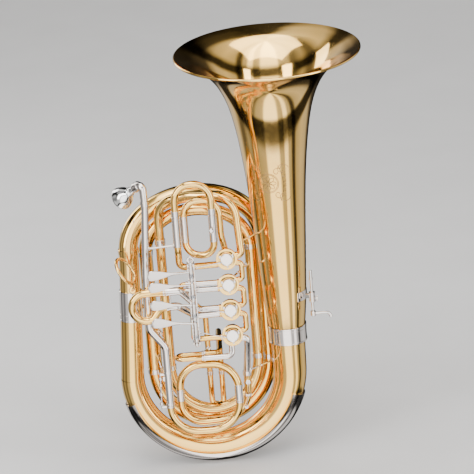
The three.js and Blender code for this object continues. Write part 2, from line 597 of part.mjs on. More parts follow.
// ---- lever rack, hinge rod, paddles and links --------------------------------------------------------------
const RACK_TOP = 436;
const RACK_BOTTOM = 268;
const RACK_Y = HINGE_Y + 10;
function plate(width, height, thickness) {
  const shape = new THREE.Shape();
  shape.absarc(0, height / 2 - width / 2, width / 2, 0, Math.PI, false);
  shape.absarc(0, width / 2 - height / 2, width / 2, Math.PI, 2 * Math.PI, false);
  const geometry = new THREE.ExtrudeGeometry(shape, {
    depth: thickness, bevelEnabled: false, curveSegments: 8,
  });
  geometry.rotateX(Math.PI / 2);
  return geometry;
}
function rack() {
  const height = RACK_TOP - RACK_BOTTOM;
  const middle = (RACK_TOP + RACK_BOTTOM) / 2;
  const back = plate(13, height, 2.4);
  back.translate(HINGE_X, RACK_Y + 1.2, middle);
  const ears = [RACK_TOP - 8, RACK_BOTTOM + 8].map((z) => {
    const ear = new THREE.BoxGeometry(8, 15, 3);
    ear.translate(HINGE_X, HINGE_Y + 3.5, z);
    return ear;
  });
  const rodHole = rod([HINGE_X, HINGE_Y, RACK_BOTTOM - 2], [HINGE_X, HINGE_Y, RACK_TOP + 2], ROD_R + 0.3);
  const slots = armZ.map((z) => {
    const slot = new THREE.BoxGeometry(7.6, 8, 5.6);
    slot.translate(HINGE_X, RACK_Y, z);
    return slot;
  });
  return carve([back, ...ears], [rodHole, ...slots]);
}
add('lever_rack', rack(), nickel);
add('hinge_rod', rod([HINGE_X, HINGE_Y, RACK_BOTTOM + 3], [HINGE_X, HINGE_Y, RACK_TOP - 3], ROD_R), steel);

const HUB_R = 4;
const hubSpans = [[396, 424], [357, 391], [321, 352], [281, 317]];
function lever(i) {
  const [low, high] = hubSpans[i];
  const rise = paddleZ[i] - stemZ[i];
  const hub = rod([0, 0, low], [0, 0, high], HUB_R, 8);
  const reach = new THREE.Vector3(-Math.cos(LEVER_REST), -Math.sin(LEVER_REST), 0);
  const tip = reach.clone().multiplyScalar(LEVER_REACH);
  const stem = rod([0, 0, stemZ[i]], [tip.x * 0.7, tip.y * 0.7, stemZ[i] + rise * 0.7], 1.7, 6);
  // The spoon: a thin plate that widens from the stem to a round end.
  const outline = new THREE.Shape();
  const round = 9.2;
  outline.moveTo(LEVER_REACH - 50, -2.2);
  outline.quadraticCurveTo(LEVER_REACH - 28, -3, LEVER_REACH - 10, -round * 0.94);
  outline.absarc(LEVER_REACH - 4, 0, round, -1.9, 1.9, false);
  outline.quadraticCurveTo(LEVER_REACH - 28, 3, LEVER_REACH - 50, 2.2);
  outline.closePath();
  const spoon = new THREE.ExtrudeGeometry(outline, { depth: 1.8, bevelEnabled: false, curveSegments: 5 });
  spoon.translate(0, 0, -0.9);
  spoon.rotateX(Math.PI / 2);
  spoon.rotateY(-Math.atan2(rise, LEVER_REACH));
  spoon.rotateZ(Math.PI + LEVER_REST);
  spoon.translate(0, 0, stemZ[i]);
  const start = LEVER_TRAVEL / 2;
  const armEnd = [-LEVER_ARM * Math.sin(start), LEVER_ARM * Math.cos(start), armZ[i]];
  const arm = rod([0, 0, armZ[i]], armEnd, 1.8, 6);
  const eye = rod([armEnd[0], armEnd[1], armZ[i] - 2], [armEnd[0], armEnd[1], armZ[i] + 2], 3, 6);
  const bore = rod([0, 0, low - 1], [0, 0, high + 1], ROD_R + 0.4, 6);
  return carve([hub, stem, spoon, arm, eye], [bore]);
}
hubSpans.forEach((span, i) => {
  add(`lever_${i + 1}`, lever(i), nickel).position.set(HINGE_X, HINGE_Y, 0);
  // The link runs from above the lever's eye to just in front of the stop arm's pin.
  const startX = HINGE_X - LEVER_ARM * Math.sin(LEVER_TRAVEL / 2);
  const startY = HINGE_Y + LEVER_ARM * Math.cos(LEVER_TRAVEL / 2);
  const along = -PIN_FRONT + 2.6;
  const across = -PIN_RADIUS * Math.SQRT1_2;
  const end = [
    VALVE_X + across,
    VALVE_Y - along * Math.cos(VALVE_TILT) - across * Math.sin(VALVE_TILT) * -1,
    valveZ[i] + along * Math.sin(VALVE_TILT) + across * Math.cos(VALVE_TILT),
  ];
  const post = rod([startX, startY, armZ[i] + 2.4], [startX, startY, armZ[i] + 6.4], 2.6, 8);
  const bar = rod([startX, startY, armZ[i] + 4.4], end, 1, 6);
  add(`link_${i + 1}`, carve([post, bar]), steel);
});

// ---- thumb ring and hand rest -----------------------------------------------------------------
const THUMB_RADIUS = 25;
function ringWithStem() {
  const long = new THREE.Vector3(0.58, 0, -0.815);
  const deep = new THREE.Vector3(0.2, 0.97, 0.14).normalize();
  const centre = new THREE.Vector3(-120, -22, 395);
  const ring = new THREE.TorusGeometry(THUMB_RADIUS, 2.3, 6, 22);
  ring.applyMatrix4(new THREE.Matrix4().makeBasis(long, deep, long.clone().cross(deep)));
  ring.translate(...centre.toArray());
  const foot = centre.addScaledVector(long, THUMB_RADIUS);
  const stem = rod(foot.toArray(), [-112, 11, 345], 2.3, 6);
  return carve([ring, stem]);
}
add('thumb_ring', ringWithStem(), brass);

const REST_X = 206;
const REST_Y = -2;
const REST_Z = 312;             // middle of the clamp
const REST_ARM_Z = 280;
function restSocket() {
  const block = new THREE.BoxGeometry(9, 9, 16);
  block.translate(REST_X, REST_Y, REST_Z);
  const arm = new THREE.BoxGeometry(12, 5, 8);
  arm.translate(REST_X - 8, REST_Y + 6, REST_Z);
  const bore = rod([REST_X, REST_Y, REST_Z - 12], [REST_X, REST_Y, REST_Z + 12], 3, 8);
  const screwHole = rod([REST_X, REST_Y, REST_Z - 4], [REST_X + 12, REST_Y, REST_Z - 4], 1.9, 8);
  const bellSide = new THREE.CylinderGeometry(40, 40, 60, 32);
  bellSide.rotateX(Math.PI / 2);
  bellSide.translate(BELL_X, BIG_Y, REST_Z);
  return carve([block, arm], [bore, screwHole, bellSide]);
}
add('hand_rest_socket', restSocket(), nickel);
add('hand_rest_post', rod([REST_X, REST_Y, REST_ARM_Z + 5], [REST_X, REST_Y, REST_Z + 50], 2.5, 8), nickel);
add('hand_rest_screw', carve([
  rod([REST_X + 3.2, REST_Y, REST_Z - 4], [REST_X + 8, REST_Y, REST_Z - 4], 1.5, 8),
  rod([REST_X + 7, REST_Y, REST_Z - 4], [REST_X + 10, REST_Y, REST_Z - 4], 4.5, 10),
]), nickel);
function handRestArm() {
  const boss = rod([REST_X, REST_Y, REST_ARM_Z - 4], [REST_X, REST_Y, REST_ARM_Z + 4.6], 5, 10);
  const arm = rod([REST_X, REST_Y, REST_ARM_Z], [REST_X + 27, REST_Y, REST_ARM_Z], 1.9, 8);
  const hook = rod([REST_X + 27, REST_Y, REST_ARM_Z + 2.5], [REST_X + 31, REST_Y, REST_ARM_Z - 8], 2.6, 8);
  return carve([boss, arm, hook]);
}
add('hand_rest_arm', handRestArm(), nickel);

// The origin is the point a stand holds, under the middle of the bottom bow.
for (const child of tuba.children) {
  child.position.x -= BOW_CENTRE_X;
  child.position.y -= BIG_Y;
}

export default tuba;
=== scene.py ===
"""The looks of a compact four-valve rotary tuba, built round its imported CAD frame.

Shapes are given in millimetres about the same lines as the CAD parts. When a piece is made they
become metres, with the origin under the middle of the bottom bow, as in the CAD frame.
"""
from math import atan2, cos, degrees, pi, radians, sin, sqrt, tan

import bmesh
import bpy
from mathutils import Matrix, Vector


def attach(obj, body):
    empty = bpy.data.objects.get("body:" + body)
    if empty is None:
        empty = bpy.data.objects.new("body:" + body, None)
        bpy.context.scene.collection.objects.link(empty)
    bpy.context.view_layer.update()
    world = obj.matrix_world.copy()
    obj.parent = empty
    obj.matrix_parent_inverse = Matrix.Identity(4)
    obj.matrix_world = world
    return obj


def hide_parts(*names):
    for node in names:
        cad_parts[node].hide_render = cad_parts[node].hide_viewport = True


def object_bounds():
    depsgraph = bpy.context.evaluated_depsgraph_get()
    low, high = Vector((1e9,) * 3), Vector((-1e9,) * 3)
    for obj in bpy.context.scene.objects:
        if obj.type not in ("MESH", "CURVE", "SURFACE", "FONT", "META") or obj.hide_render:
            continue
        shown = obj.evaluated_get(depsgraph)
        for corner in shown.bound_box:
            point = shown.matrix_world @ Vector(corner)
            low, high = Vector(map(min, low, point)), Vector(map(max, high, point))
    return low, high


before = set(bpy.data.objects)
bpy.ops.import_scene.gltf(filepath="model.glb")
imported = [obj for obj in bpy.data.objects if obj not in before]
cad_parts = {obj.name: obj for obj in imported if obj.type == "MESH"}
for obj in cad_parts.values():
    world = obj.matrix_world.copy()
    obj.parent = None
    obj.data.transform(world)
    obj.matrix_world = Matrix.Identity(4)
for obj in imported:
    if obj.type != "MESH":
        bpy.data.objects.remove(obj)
cad_box = [list(corner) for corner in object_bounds()]

MM = 0.001
ORIGIN = Vector((16, 30, 0))

# ---- places shared with the CAD model, in millimetres ----
BELL_X, BIG_Y = 158, 30
BELL_BOTTOM, BELL_TOP, BELL_RADIUS = 228, 766, 165
BOW_RADIUS = 142
BOW_X, BOW_Z = BELL_X - BOW_RADIUS, 170.2
BOW_BIG_R, BOW_SMALL_R = 31, 21
BRANCH_TOP, BRANCH_TOP_X = 414, -113.5
RETURN_X, RETURN_Y = 122, 84
INNER_LEFT_X, INNER_LEFT_Y = -84, 50
INNER_SPRING, INNER_TOP = 175, 400
SMALL_RIGHT_X, SMALL_RIGHT_Y = 103, 50
SMALL_LEFT_X, SMALL_LEFT_Y = -56, 20
SMALL_SPRING = 190
VALVE_X, VALVE_Y = 59.5, -47
VALVE_Z = [412.5 - 48 * i for i in range(4)]
VALVE_TILT = radians(18)
CASING_R, HALF = 18, 17
LEFT_FACE, RIGHT_FACE = VALVE_X - CASING_R - 0.5, VALVE_X + CASING_R + 0.5
LEFT_PORT_X, RIGHT_PORT_X = LEFT_FACE + 3, RIGHT_FACE - 3  # where tubes start in the casings
PAIR = 6  # half the distance between paired ports
PIN = -5.1 * sqrt(0.5)  # the stop arm's pin, across and up
HINGE_X, HINGE_Y = -4, -98
RACK_TOP, RACK_BOTTOM = 436, 268
LEVER_ARM, LEVER_REACH = 26, 78
LEVER_REST = radians(22)
LEVER_TRAVEL = radians(16)
PADDLE_Z = [421, 399, 366, 333]
STEM_Z = [412, 388, 350, 315]
ARM_Z = [404, 364, 332, 286]
HUB_SPANS = [(396, 424), (357, 391), (321, 352), (281, 317)]
UP, RIGHT, BACK, FRONT = (0, 0, 1), (1, 0, 0), (0, 1, 0), (0, -1, 0)
TUNING_Y, TUNING_LEFT_X, TUNING_RIGHT_X, TUNING_Z, TUNING_R = -62, -60, 63, 150, 7
CROOK_Y = -76
MOUTH_AXIS = Vector((-0.55, 0.6, -0.58)).normalized()
RECEIVER_CORNER = Vector((-77, TUNING_Y, 572))
RECEIVER_MOUTH = RECEIVER_CORNER + MOUTH_AXIS * 26
KEY_X, KEY_Z = 79.5, 152  # the water key's pivot
WALL, WIDE_WALL = 0.8, 0.9  # thickness of a tube's wall
GAP = 0.6  # clearance where a slide closes


# ---- materials ----
def ramp_of(tree, stops):
    """A colour ramp through stops of (place, red, green, blue)."""
    ramp = node(tree, "ValToRGB")
    elements = ramp.color_ramp.elements
    for i, (place, *colour) in enumerate(stops):
        stop = elements[i] if i < 2 else elements.new(place)
        stop.position = place
        stop.color = (*colour, 1)
    return ramp


def node(tree, kind, **settings):
    """A new shader node. In a setting's name, an underscore stands for a space."""
    made = tree.nodes.new("ShaderNode" + kind)
    values(made, **settings)
    return made


def values(made, **settings):
    for name, value in settings.items():
        made.inputs[name.replace("_", " ")].default_value = value


def join(tree, source, output, target, place):
    tree.links.new(source.outputs[output], target.inputs[place])


def noise_of(tree, scale, detail, distortion=0.0):
    """Noise laid out in the object's own coordinates."""
    where = node(tree, "TexCoord")
    noise = node(tree, "TexNoise", Scale=scale, Detail=detail, Distortion=distortion)
    join(tree, where, "Object", noise, "Vector")
    return noise


def mottled(name, colour, deep, noise, spread, relief):
    """A surface that drifts between two close colours, with a low relief of the same noise."""
    material = bpy.data.materials.new(name)
    material.use_nodes = True
    tree = material.node_tree
    shader = tree.nodes["Principled BSDF"]
    grain = noise_of(tree, *noise)
    tint = ramp_of(tree, [(0.5 - spread, *deep), (0.5 + spread, *colour)])
    join(tree, grain, "Fac", tint, "Fac")
    join(tree, tint, "Color", shader, "Base Color")
    bump = node(tree, "Bump", Strength=relief[0], Distance=relief[1])
    join(tree, grain, "Fac", bump, "Height")
    join(tree, bump, "Normal", shader, "Normal")
    return material, tree, shader


def metal(name, colour, deep, roughness, coat=0.0, scale=30.0):
    """Polished metal: a slow drift of colour and a patchy, smeared polish."""
    material, tree, shader = mottled(name, colour, deep, (scale * 0.3, 3.0), 0.15, (0.03, 0.0006))
    values(shader, Metallic=1.0, Coat_Weight=coat, Coat_Roughness=0.04)
    smear = noise_of(tree, scale * 2, 5.0, 1.2)
    polish = node(tree, "MapRange", From_Min=0.3, From_Max=0.7, To_Min=roughness * 0.75,
                  To_Max=roughness * 1.4)
    join(tree, smear, "Fac", polish, "Value")
    join(tree, polish, "Result", shader, "Roughness")
    return material


def dull(name, colour, deep, roughness, scale):
    """Cork and paper: matt, with a fine grain."""
    material, _, shader = mottled(name, colour, deep, (scale, 6.0), 0.2, (0.4, 0.0004))
    values(shader, Roughness=roughness)
    return material


BRASS = metal("lacquered_brass_polished", (0.97, 0.61, 0.18), (0.92, 0.55, 0.13), 0.09, coat=0.2)
ENGRAVED = metal("brass_engraved", (0.44, 0.28, 0.11), (0.30, 0.18, 0.06), 0.35, scale=90)
NICKEL = metal("nickel_silver_polished", (0.84, 0.77, 0.72), (0.78, 0.71, 0.66), 0.10)
SILVER = metal("silver_plate_polished", (0.93, 0.92, 0.90), (0.88, 0.87, 0.85), 0.08)
STEEL = metal("steel_polished", (0.66, 0.66, 0.67), (0.55, 0.55, 0.57), 0.22, scale=80)
CORK = dull("cork", (0.42, 0.27, 0.15), (0.20, 0.12, 0.07), 0.8, 900)


# ---- paths ----
def route(points):
    """Straight runs joined by round bends. A point is (x, y, z) or (x, y, z, bend radius)."""
    path = [Vector(points[0][:3])]
    for before, here, after in zip(points, points[1:], points[2:]):
        corner = Vector(here[:3])
        bend = here[3] if len(here) > 3 else 10
        back = (Vector(before[:3]) - corner).normalized()
        on = (Vector(after[:3]) - corner).normalized()
        turn = pi - back.angle(on)
        bisector = (back + on).normalized()
        centre = corner + bisector * (bend / cos(turn / 2))
        start = corner + back * (bend * tan(turn / 2)) - centre
        axis = -start.cross(back).normalized()
        count = max(2, round(degrees(turn) / 7.5))
        for i in range(count + 1):
            path.append(Matrix.Rotation(turn * i / count, 3, axis) @ start + centre)
    path.append(Vector(points[-1][:3]))
    return [p for i, p in enumerate(path) if i == 0 or (p - path[i - 1]).length > 0.02]


def arch(from_x, to_x, z, height, from_y, to_y, count):
    """Half an ellipse in X and Z: over the top if it goes right, and underneath if it goes left."""
    middle, half_width = (from_x + to_x) / 2, abs(to_x - from_x) / 2
    start = 180 if to_x > from_x else 0
    path = []
    for i in range(count + 1):
        share = i / count
        angle = radians(start - 180 * share)
        path.append(Vector((middle + half_width * cos(angle), from_y + (to_y - from_y) * share,
                            z + height * sin(angle))))
    return path


def lengths(path):
    total = [0.0]
    for a, b in zip(path, path[1:]):
        total.append(total[-1] + (b - a).length)
    return total


def polar(radius, angle):
    return radius * cos(angle), radius * sin(angle)


def full_turn(count):
    """Evenly spaced angles of a full turn."""
    return [2 * pi * k / count for k in range(count)]


# ---- shapes: each is (vertices, faces, material) in millimetres ----
def tube(points, start_r, end_r=None, wall=WALL, sides=28, material=BRASS):
    """A hollow tube along straight runs and round bends."""
    return sweep(route(points), start_r, end_r, wall, sides, material)


def sweep(path, start_r, end_r=None, wall=0.0, sides=28, material=BRASS, oval=1.0):
    """A round tube along a path, open at both ends if it has a wall, and else solid."""
    end_r = start_r if end_r is None else end_r
    path = [Vector(point) for point in path]
    total = lengths(path)
    verts, faces = [], []
    side = None
    rings = 2 if wall else 1
    for i, point in enumerate(path):
        along = (path[min(i + 1, len(path) - 1)] - path[max(i - 1, 0)]).normalized()
        if side is None:
            side = Vector(RIGHT) if abs(along.y) > 0.9 else Vector(BACK)
        side = (side - along * side.dot(along)).normalized()
        up = along.cross(side)
        outer = start_r + (end_r - start_r) * total[i] / total[-1]
        for radius in (outer, outer - wall)[:rings]:
            for angle in full_turn(sides):
                verts.append(point + side * radius * cos(angle) + up * radius * oval * sin(angle))
    row = sides * rings
    last = (len(path) - 1) * row
    for k in range(sides):
        n = (k + 1) % sides
        for low in range(0, last, row):
            high = low + row
            faces.append((low + k, low + n, high + n, high + k))
            if wall:
                faces.append((low + sides + n, low + sides + k, high + sides + k, high + sides + n))
        if wall:
            faces.append((n, k, sides + k, sides + n))
            faces.append((last + k, last + n, last + sides + n, last + sides + k))
    if not wall:
        faces.append(tuple(reversed(range(sides))))
        faces.append(tuple(last + k for k in range(sides)))
    return verts, faces, material


def rod(path, start_r, end_r, sides=18, oval=1.0):
    """A solid nickel rod along points."""
    return sweep(path, start_r, end_r, sides=sides, material=NICKEL, oval=oval)


def basis(axis):
    axis = Vector(axis).normalized()
    return Vector(UP).rotation_difference(axis).to_matrix()


def lathe(profile, origin, axis, sides=32, material=BRASS):
    """Turns (radius, height) points about an axis. A profile that starts off the axis is a closed loop."""
    turn = basis(axis)
    origin = Vector(origin)
    verts, faces, rows = [], [], []
    for r, h in profile:
        if r < 1e-4:
            rows.append([len(verts)] * sides)
            verts.append(turn @ Vector((0, 0, h)) + origin)
            continue
        rows.append(list(range(len(verts), len(verts) + sides)))
        for angle in full_turn(sides):
            verts.append(turn @ Vector((*polar(r, angle), h)) + origin)
    pairs = list(zip(rows, rows[1:]))
    if profile[0][0] > 0:
        pairs.append((rows[-1], rows[0]))
    for low, high in pairs:
        for k in range(sides):
            n = (k + 1) % sides
            face = []
            for corner in (low[k], low[n], high[n], high[k]):
                if corner not in face:
                    face.append(corner)
            if len(face) > 2:
                faces.append(tuple(face))
    return verts, faces, material


def ring(centre, axis, inner, outer, length, bead=0.6, sides=36, material=NICKEL):
    """A sleeve or collar with rounded edges, centred on a point."""
    h = length / 2
    profile = [(inner, -h), (outer - bead * 0.5, -h), (outer, -h + bead * 0.6), (outer, h - bead * 0.6),
               (outer - bead * 0.5, h), (inner, h)]
    return lathe(profile, centre, axis, sides, material)


def disc(centre, axis, radius, length, round_edge=0.5, sides=28, dome=0.0, material=NICKEL):
    """A solid round piece from a point along its axis, with rounded edges and an optional dome."""
    e = min(round_edge, length / 2.01, radius / 2)
    profile = [(0, 0), (radius - e, 0), (radius, e), (radius, length - e), (radius - e, length)]
    if dome:
        profile += [(radius * 0.75, length + dome * 0.5), (radius * 0.4, length + dome * 0.88)]
    profile.append((0, length + dome))
    return lathe(profile, centre, axis, sides, material)


def quads(rows, size):
    """The faces between rows of equally many points that each close on themselves."""
    faces = []
    for low in range(0, (rows - 1) * size, size):
        for k in range(size):
            n = (k + 1) % size
            faces.append((low + k, low + n, low + size + n, low + size + k))
    return faces


def stack(verts, size):
    """Skins rows of points, first row to last, and closes both ends."""
    last = len(verts) - size
    ends = [tuple(range(size)), tuple(reversed(range(last, len(verts))))]
    return verts, quads(len(verts) // size, size) + ends, NICKEL


def slab(centre, size, turn=None, edge=0.4, material=NICKEL):
    """A block with chamfered edges."""
    turn = turn or Matrix.Identity(3)
    hx, hy, hz = (s / 2 for s in size)
    e = min(edge, hx * 0.6, hy * 0.6, hz * 0.6)
    rows = []
    for z, inset in ((-hz, e), (-hz + e, 0), (hz - e, 0), (hz, e)):
        x, y = hx - inset, hy - inset
        rows.append([Vector(c) for c in ((x - e, y, z), (x, y - e, z), (x, -y + e, z), (x - e, -y, z),
                                         (-x + e, -y, z), (-x, -y + e, z), (-x, y - e, z), (-x + e, y, z))])
    verts = [turn @ v + Vector(centre) for row in rows for v in row]
    return verts, [tuple(range(8)), tuple(reversed(range(24, 32))), *quads(4, 8)], material


def bar(a, b, radius, sides=16, material=NICKEL):
    """A solid rod with rounded ends."""
    a, b = Vector(a), Vector(b)
    return disc(a, b - a, radius, (b - a).length, radius * 0.4, sides, material=material)


def coil(centre, axis, radius, wire, turns, length):
    """A close helical spring that starts at a point and runs along its axis."""
    turn = basis(axis)
    steps = int(turns * 16)
    path = []
    for i in range(steps + 1):
        angle = 2 * pi * turns * i / steps
        path.append(turn @ Vector((*polar(radius, angle), length * i / steps)) + Vector(centre))
    return sweep(path, wire, sides=8, material=STEEL)


def screw(centre, axis, radius):
    """A slotted screw head: two half discs with the slot between them."""
    turn = basis(axis)
    height = 0.7
    shapes = [disc(centre, axis, radius, height, 0.2, 16, material=STEEL)]
    for sign in (1, -1):
        offset = turn @ Vector((sign * radius * 0.52, 0, 1.0)) + Vector(centre)
        shapes.append(slab(offset, (radius * 0.7, radius * 1.3, height), turn, 0.2, material=STEEL))
    return shapes


# ---- pieces ----
def piece(name, shapes, nodes=(), body="horn", sharp=38):
    """Joins shapes into one object that stands for CAD nodes and rides on a body."""
    verts, faces, marks, materials = [], [], [], []
    for shape_verts, shape_faces, material in shapes:
        if material not in materials:
            materials.append(material)
        base = len(verts)
        verts.extend((Vector(v) - ORIGIN) * MM for v in shape_verts)
        faces.extend(tuple(base + i for i in face) for face in shape_faces)
        marks.extend([materials.index(material)] * len(shape_faces))
    mesh = bpy.data.meshes.new(name)
    mesh.from_pydata(verts, [], faces)
    for material in materials:
        mesh.materials.append(material)
    mesh.polygons.foreach_set("material_index", marks)
    outward(mesh)
    mesh.shade_smooth()
    mesh.set_sharp_from_angle(angle=radians(sharp))
    obj = new_object(name, mesh)
    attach(obj, body)
    if nodes:
        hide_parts(*nodes)
    return obj


def new_object(name, data):
    obj = bpy.data.objects.new(name, data)
    bpy.context.scene.collection.objects.link(obj)
    return obj


def outward(mesh):
    """Turns every shell's faces outwards."""
    work = bmesh.new()
    work.from_mesh(mesh)
    bmesh.ops.recalc_face_normals(work, faces=work.faces)
    work.to_mesh(mesh)
    work.free()


# ---- bell ----
BELL_CURVE = [(0, 30.2), (70, 38), (175, 44.5), (270, 50.5), (340, 57), (400, 65.5), (445, 76),
              (480, 91), (505, 110), (522, 131), (532, 150), (BELL_TOP - BELL_BOTTOM, BELL_RADIUS)]


def bell_outline():
    """A smooth curve through the bell's radii: (height above the tail, radius)."""
    curve, steps = [], 7
    padded = [BELL_CURVE[0], *BELL_CURVE, BELL_CURVE[-1]]
    for p0, p1, p2, p3 in zip(padded, padded[1:], padded[2:], padded[3:]):
        for i in range(steps):
            t = i / steps
            curve.append(tuple(
                0.5 * (2 * b + (c - a) * t + (2 * a - 5 * b + 4 * c - d) * t ** 2
                       + (3 * b - a - 3 * c + d) * t ** 3)
                for a, b, c, d in zip(p0, p1, p2, p3)))
    return curve


BELL_OUTLINE = bell_outline()


def bell_radius(z):
    height = z - BELL_BOTTOM
    for (h0, r0), (h1, r1) in zip(BELL_OUTLINE, BELL_OUTLINE[1:]):
        if h0 <= height <= h1:
            return r0 + (r1 - r0) * (height - h0) / max(h1 - h0, 1e-6)
    return BELL_RADIUS


def make_bell():
    outside = [(r, BELL_BOTTOM + h) for h, r in BELL_OUTLINE]
    inside = [(r - 1.1, BELL_BOTTOM + h + (0.8 if r > 80 else 0)) for h, r in BELL_OUTLINE]
    # The rim rolls outwards over its wire and back on itself.
    wire = 2.3
    rim_r, rim_z = BELL_RADIUS - wire, BELL_TOP - wire
    roll = [(rim_r + wire * cos(a), rim_z + wire * sin(a))
            for a in map(radians, range(-130, 131, 20))]
    shape = lathe(outside + roll + inside[::-1], (BELL_X, BIG_Y, 0), UP, 144, BRASS)
    piece("bell_body", [shape], ["bell"], sharp=60)


def on_bell(angle, z, proud=0.05):
    """A point on the bell's outside: 0 degrees faces the front."""
    r = bell_radius(z) + proud
    return Vector((BELL_X + r * sin(angle), BIG_Y - r * cos(angle), z))


def make_ornament():
    """A generic engraved rosette with leaf scrolls, as fine raised lines on the bell's front."""
    middle_z, turn = 538, radians(-16)
    shapes = []

    def line(points, width):
        path = []
        for x, z in points:
            radius = bell_radius(middle_z + z)
            path.append(on_bell(turn + x / radius, middle_z + z))
        shapes.append(sweep(path, width, sides=6, material=ENGRAVED))

    for petal in range(8):
        angle = pi * petal / 4
        points = []
        for i in range(13):
            t = 2 * pi * i / 12
            along, across = 8 + 6 * cos(t), 3.2 * sin(t)
            points.append((along * cos(angle) - across * sin(angle),
                           along * sin(angle) + across * cos(angle)))
        line(points, 0.5)
    for radius in (2.2, 16.5, 18.5):
        line([polar(radius, pi * i / 18) for i in range(37)], 0.5)
    for side in (1, -1):
        for up in (1, -1):
            for size, start in ((1.0, 0.2), (0.62, 1.0)):
                spiral = []
                for i in range(30):
                    t = i / 29
                    radius = (2 + 11 * t) * size
                    spin = start + 5.4 * (1 - t)
                    spiral.append((side * (24 * size + 2 + radius * cos(spin)),
                                   up * (15 + 10 * size + radius * sin(spin))))
                line(spiral, 0.5)
        stem = [(side * (20 + 7 * sin(pi * i / 16)), -34 + 68 * i / 16) for i in range(17)]
        line(stem, 0.55)
        for i in range(7):
            z = -27 + 9 * i
            base = side * (20 + 7 * sin(pi * (z + 34) / 68))
            leaf = [(base + side * 6.5 * t, z + 5 * t + 3 * sin(pi * t))
                    for t in (0, 0.25, 0.5, 0.75, 1)]
            line(leaf, 0.45)
            line([(x, z + (y - z) * 0.35) for x, y in leaf], 0.4)
    piece("bell_ornament", shapes)


def make_bell_ferrule():
    low, high = BELL_BOTTOM - 6, BELL_BOTTOM + 25
    middle = (low + high) / 2
    # Height, inner and outer radius, length and bead of each ring.
    rings = ((middle, 33.2, 34.4, high - low, 0.8), (high - 1.4, 33.2, 35.1, 2.8, 1.1),
             (low + 1.4, 31.4, 35.1, 2.8, 1.1), (high - 7, 33.2, 34.8, 1.4, 0.5))
    shapes = [ring((BELL_X, BIG_Y, z), UP, *size, 72) for z, *size in rings]
    piece("bell_ferrule_sleeve", shapes, ["bell_ferrule"])


# ---- bottom bow and its guard ----
BOW_TOP = BELL_BOTTOM - BOW_Z
BOW_LENGTH = BOW_TOP + pi * BOW_RADIUS


def bow_tube_radius(angle):
    """The bow's tube radius at an angle below its right end, in radians."""
    return BOW_BIG_R + (BOW_SMALL_R - BOW_BIG_R) * (BOW_TOP + angle * BOW_RADIUS) / BOW_LENGTH


def shell_strip(start, end, from_turn, to_turn, lift, thickness, material, across):
    """A thin shell on the outside of the bottom bow between two section angles."""
    steps = 72
    verts, faces = [], []
    row = across + 1
    for i in range(steps + 1):
        angle = radians(start + (end - start) * i / steps)
        tube = bow_tube_radius(angle) + lift
        for radius in (tube + thickness, tube):
            for k in range(row):
                turn = radians(from_turn + (to_turn - from_turn) * k / across)
                out = BOW_RADIUS + radius * cos(turn)
                verts.append(Vector((BOW_X + out * cos(angle), BIG_Y + radius * sin(turn),
                                     BOW_Z - out * sin(angle))))
    width = 2 * row
    for i in range(steps):
        low, high = i * width, (i + 1) * width
        for k in range(across):
            faces.append((low + k, low + k + 1, high + k + 1, high + k))
            faces.append((low + row + k + 1, low + row + k, high + row + k, high + row + k + 1))
        faces.append((low, high, high + row, low + row))
        faces.append((low + across, low + row + across, high + row + across, high + across))
    for base in (0, steps * width):
        for k in range(across):
            faces.append((base + k, base + k + 1, base + row + k + 1, base + row + k))
    return verts, faces, material


def make_bottom_bow():
    path = [Vector((BELL_X, BIG_Y, BELL_BOTTOM))]
    path += arch(BELL_X, BOW_X - BOW_RADIUS, BOW_Z, BOW_RADIUS, BIG_Y, BIG_Y, 96)
    piece("bottom_bow_tube", [sweep(path, BOW_BIG_R, BOW_SMALL_R, WIDE_WALL, 64)], ["bottom_bow"])
    guard = [
        shell_strip(17, 163, -76, 76, 1.2, 1.6, NICKEL, 30),
        shell_strip(16.5, 163.5, -79, -75.5, 0.1, 3.1, BRASS, 4),
        shell_strip(16.5, 163.5, 75.5, 79, 0.1, 3.1, BRASS, 4),
    ]
    piece("bottom_bow_guard_shell", guard, ["bottom_bow_guard"], sharp=50)


def make_outer_branch():
    corners = ((BOW_X - BOW_RADIUS, BOW_Z), (-117.5, 300), (BRANCH_TOP_X, BRANCH_TOP))
    a, b, c = (Vector((x, BIG_Y, z)) for x, z in corners)
    path = [a * (1 - t) ** 2 + b * 2 * t * (1 - t) + c * t ** 2 for t in (i / 24 for i in range(25))]
    piece("outer_branch_tube", [sweep(path, 20.9, 17.4, WIDE_WALL, 56)], ["outer_branch"])
    low, high = Vector((-118.5, BIG_Y, 284)), Vector((-116.1, BIG_Y, 340))
    way = (high - low).normalized()
    sleeve = sweep([low, low.lerp(high, 0.5), high], 20.5, 19.8, 0.6, 56, NICKEL)
    edges = [ring(low + way * 1.2, way, 19.4, 21.0, 2.4, 0.9, 56),
             ring(high - way * 1.2, way, 18.7, 20.3, 2.4, 0.9, 56),
             ring(low + way * 12, way, 20, 20.8, 1.2, 0.5, 56)]
    piece("branch_ferrule_sleeve", [sleeve, *edges], ["branch_ferrule"])


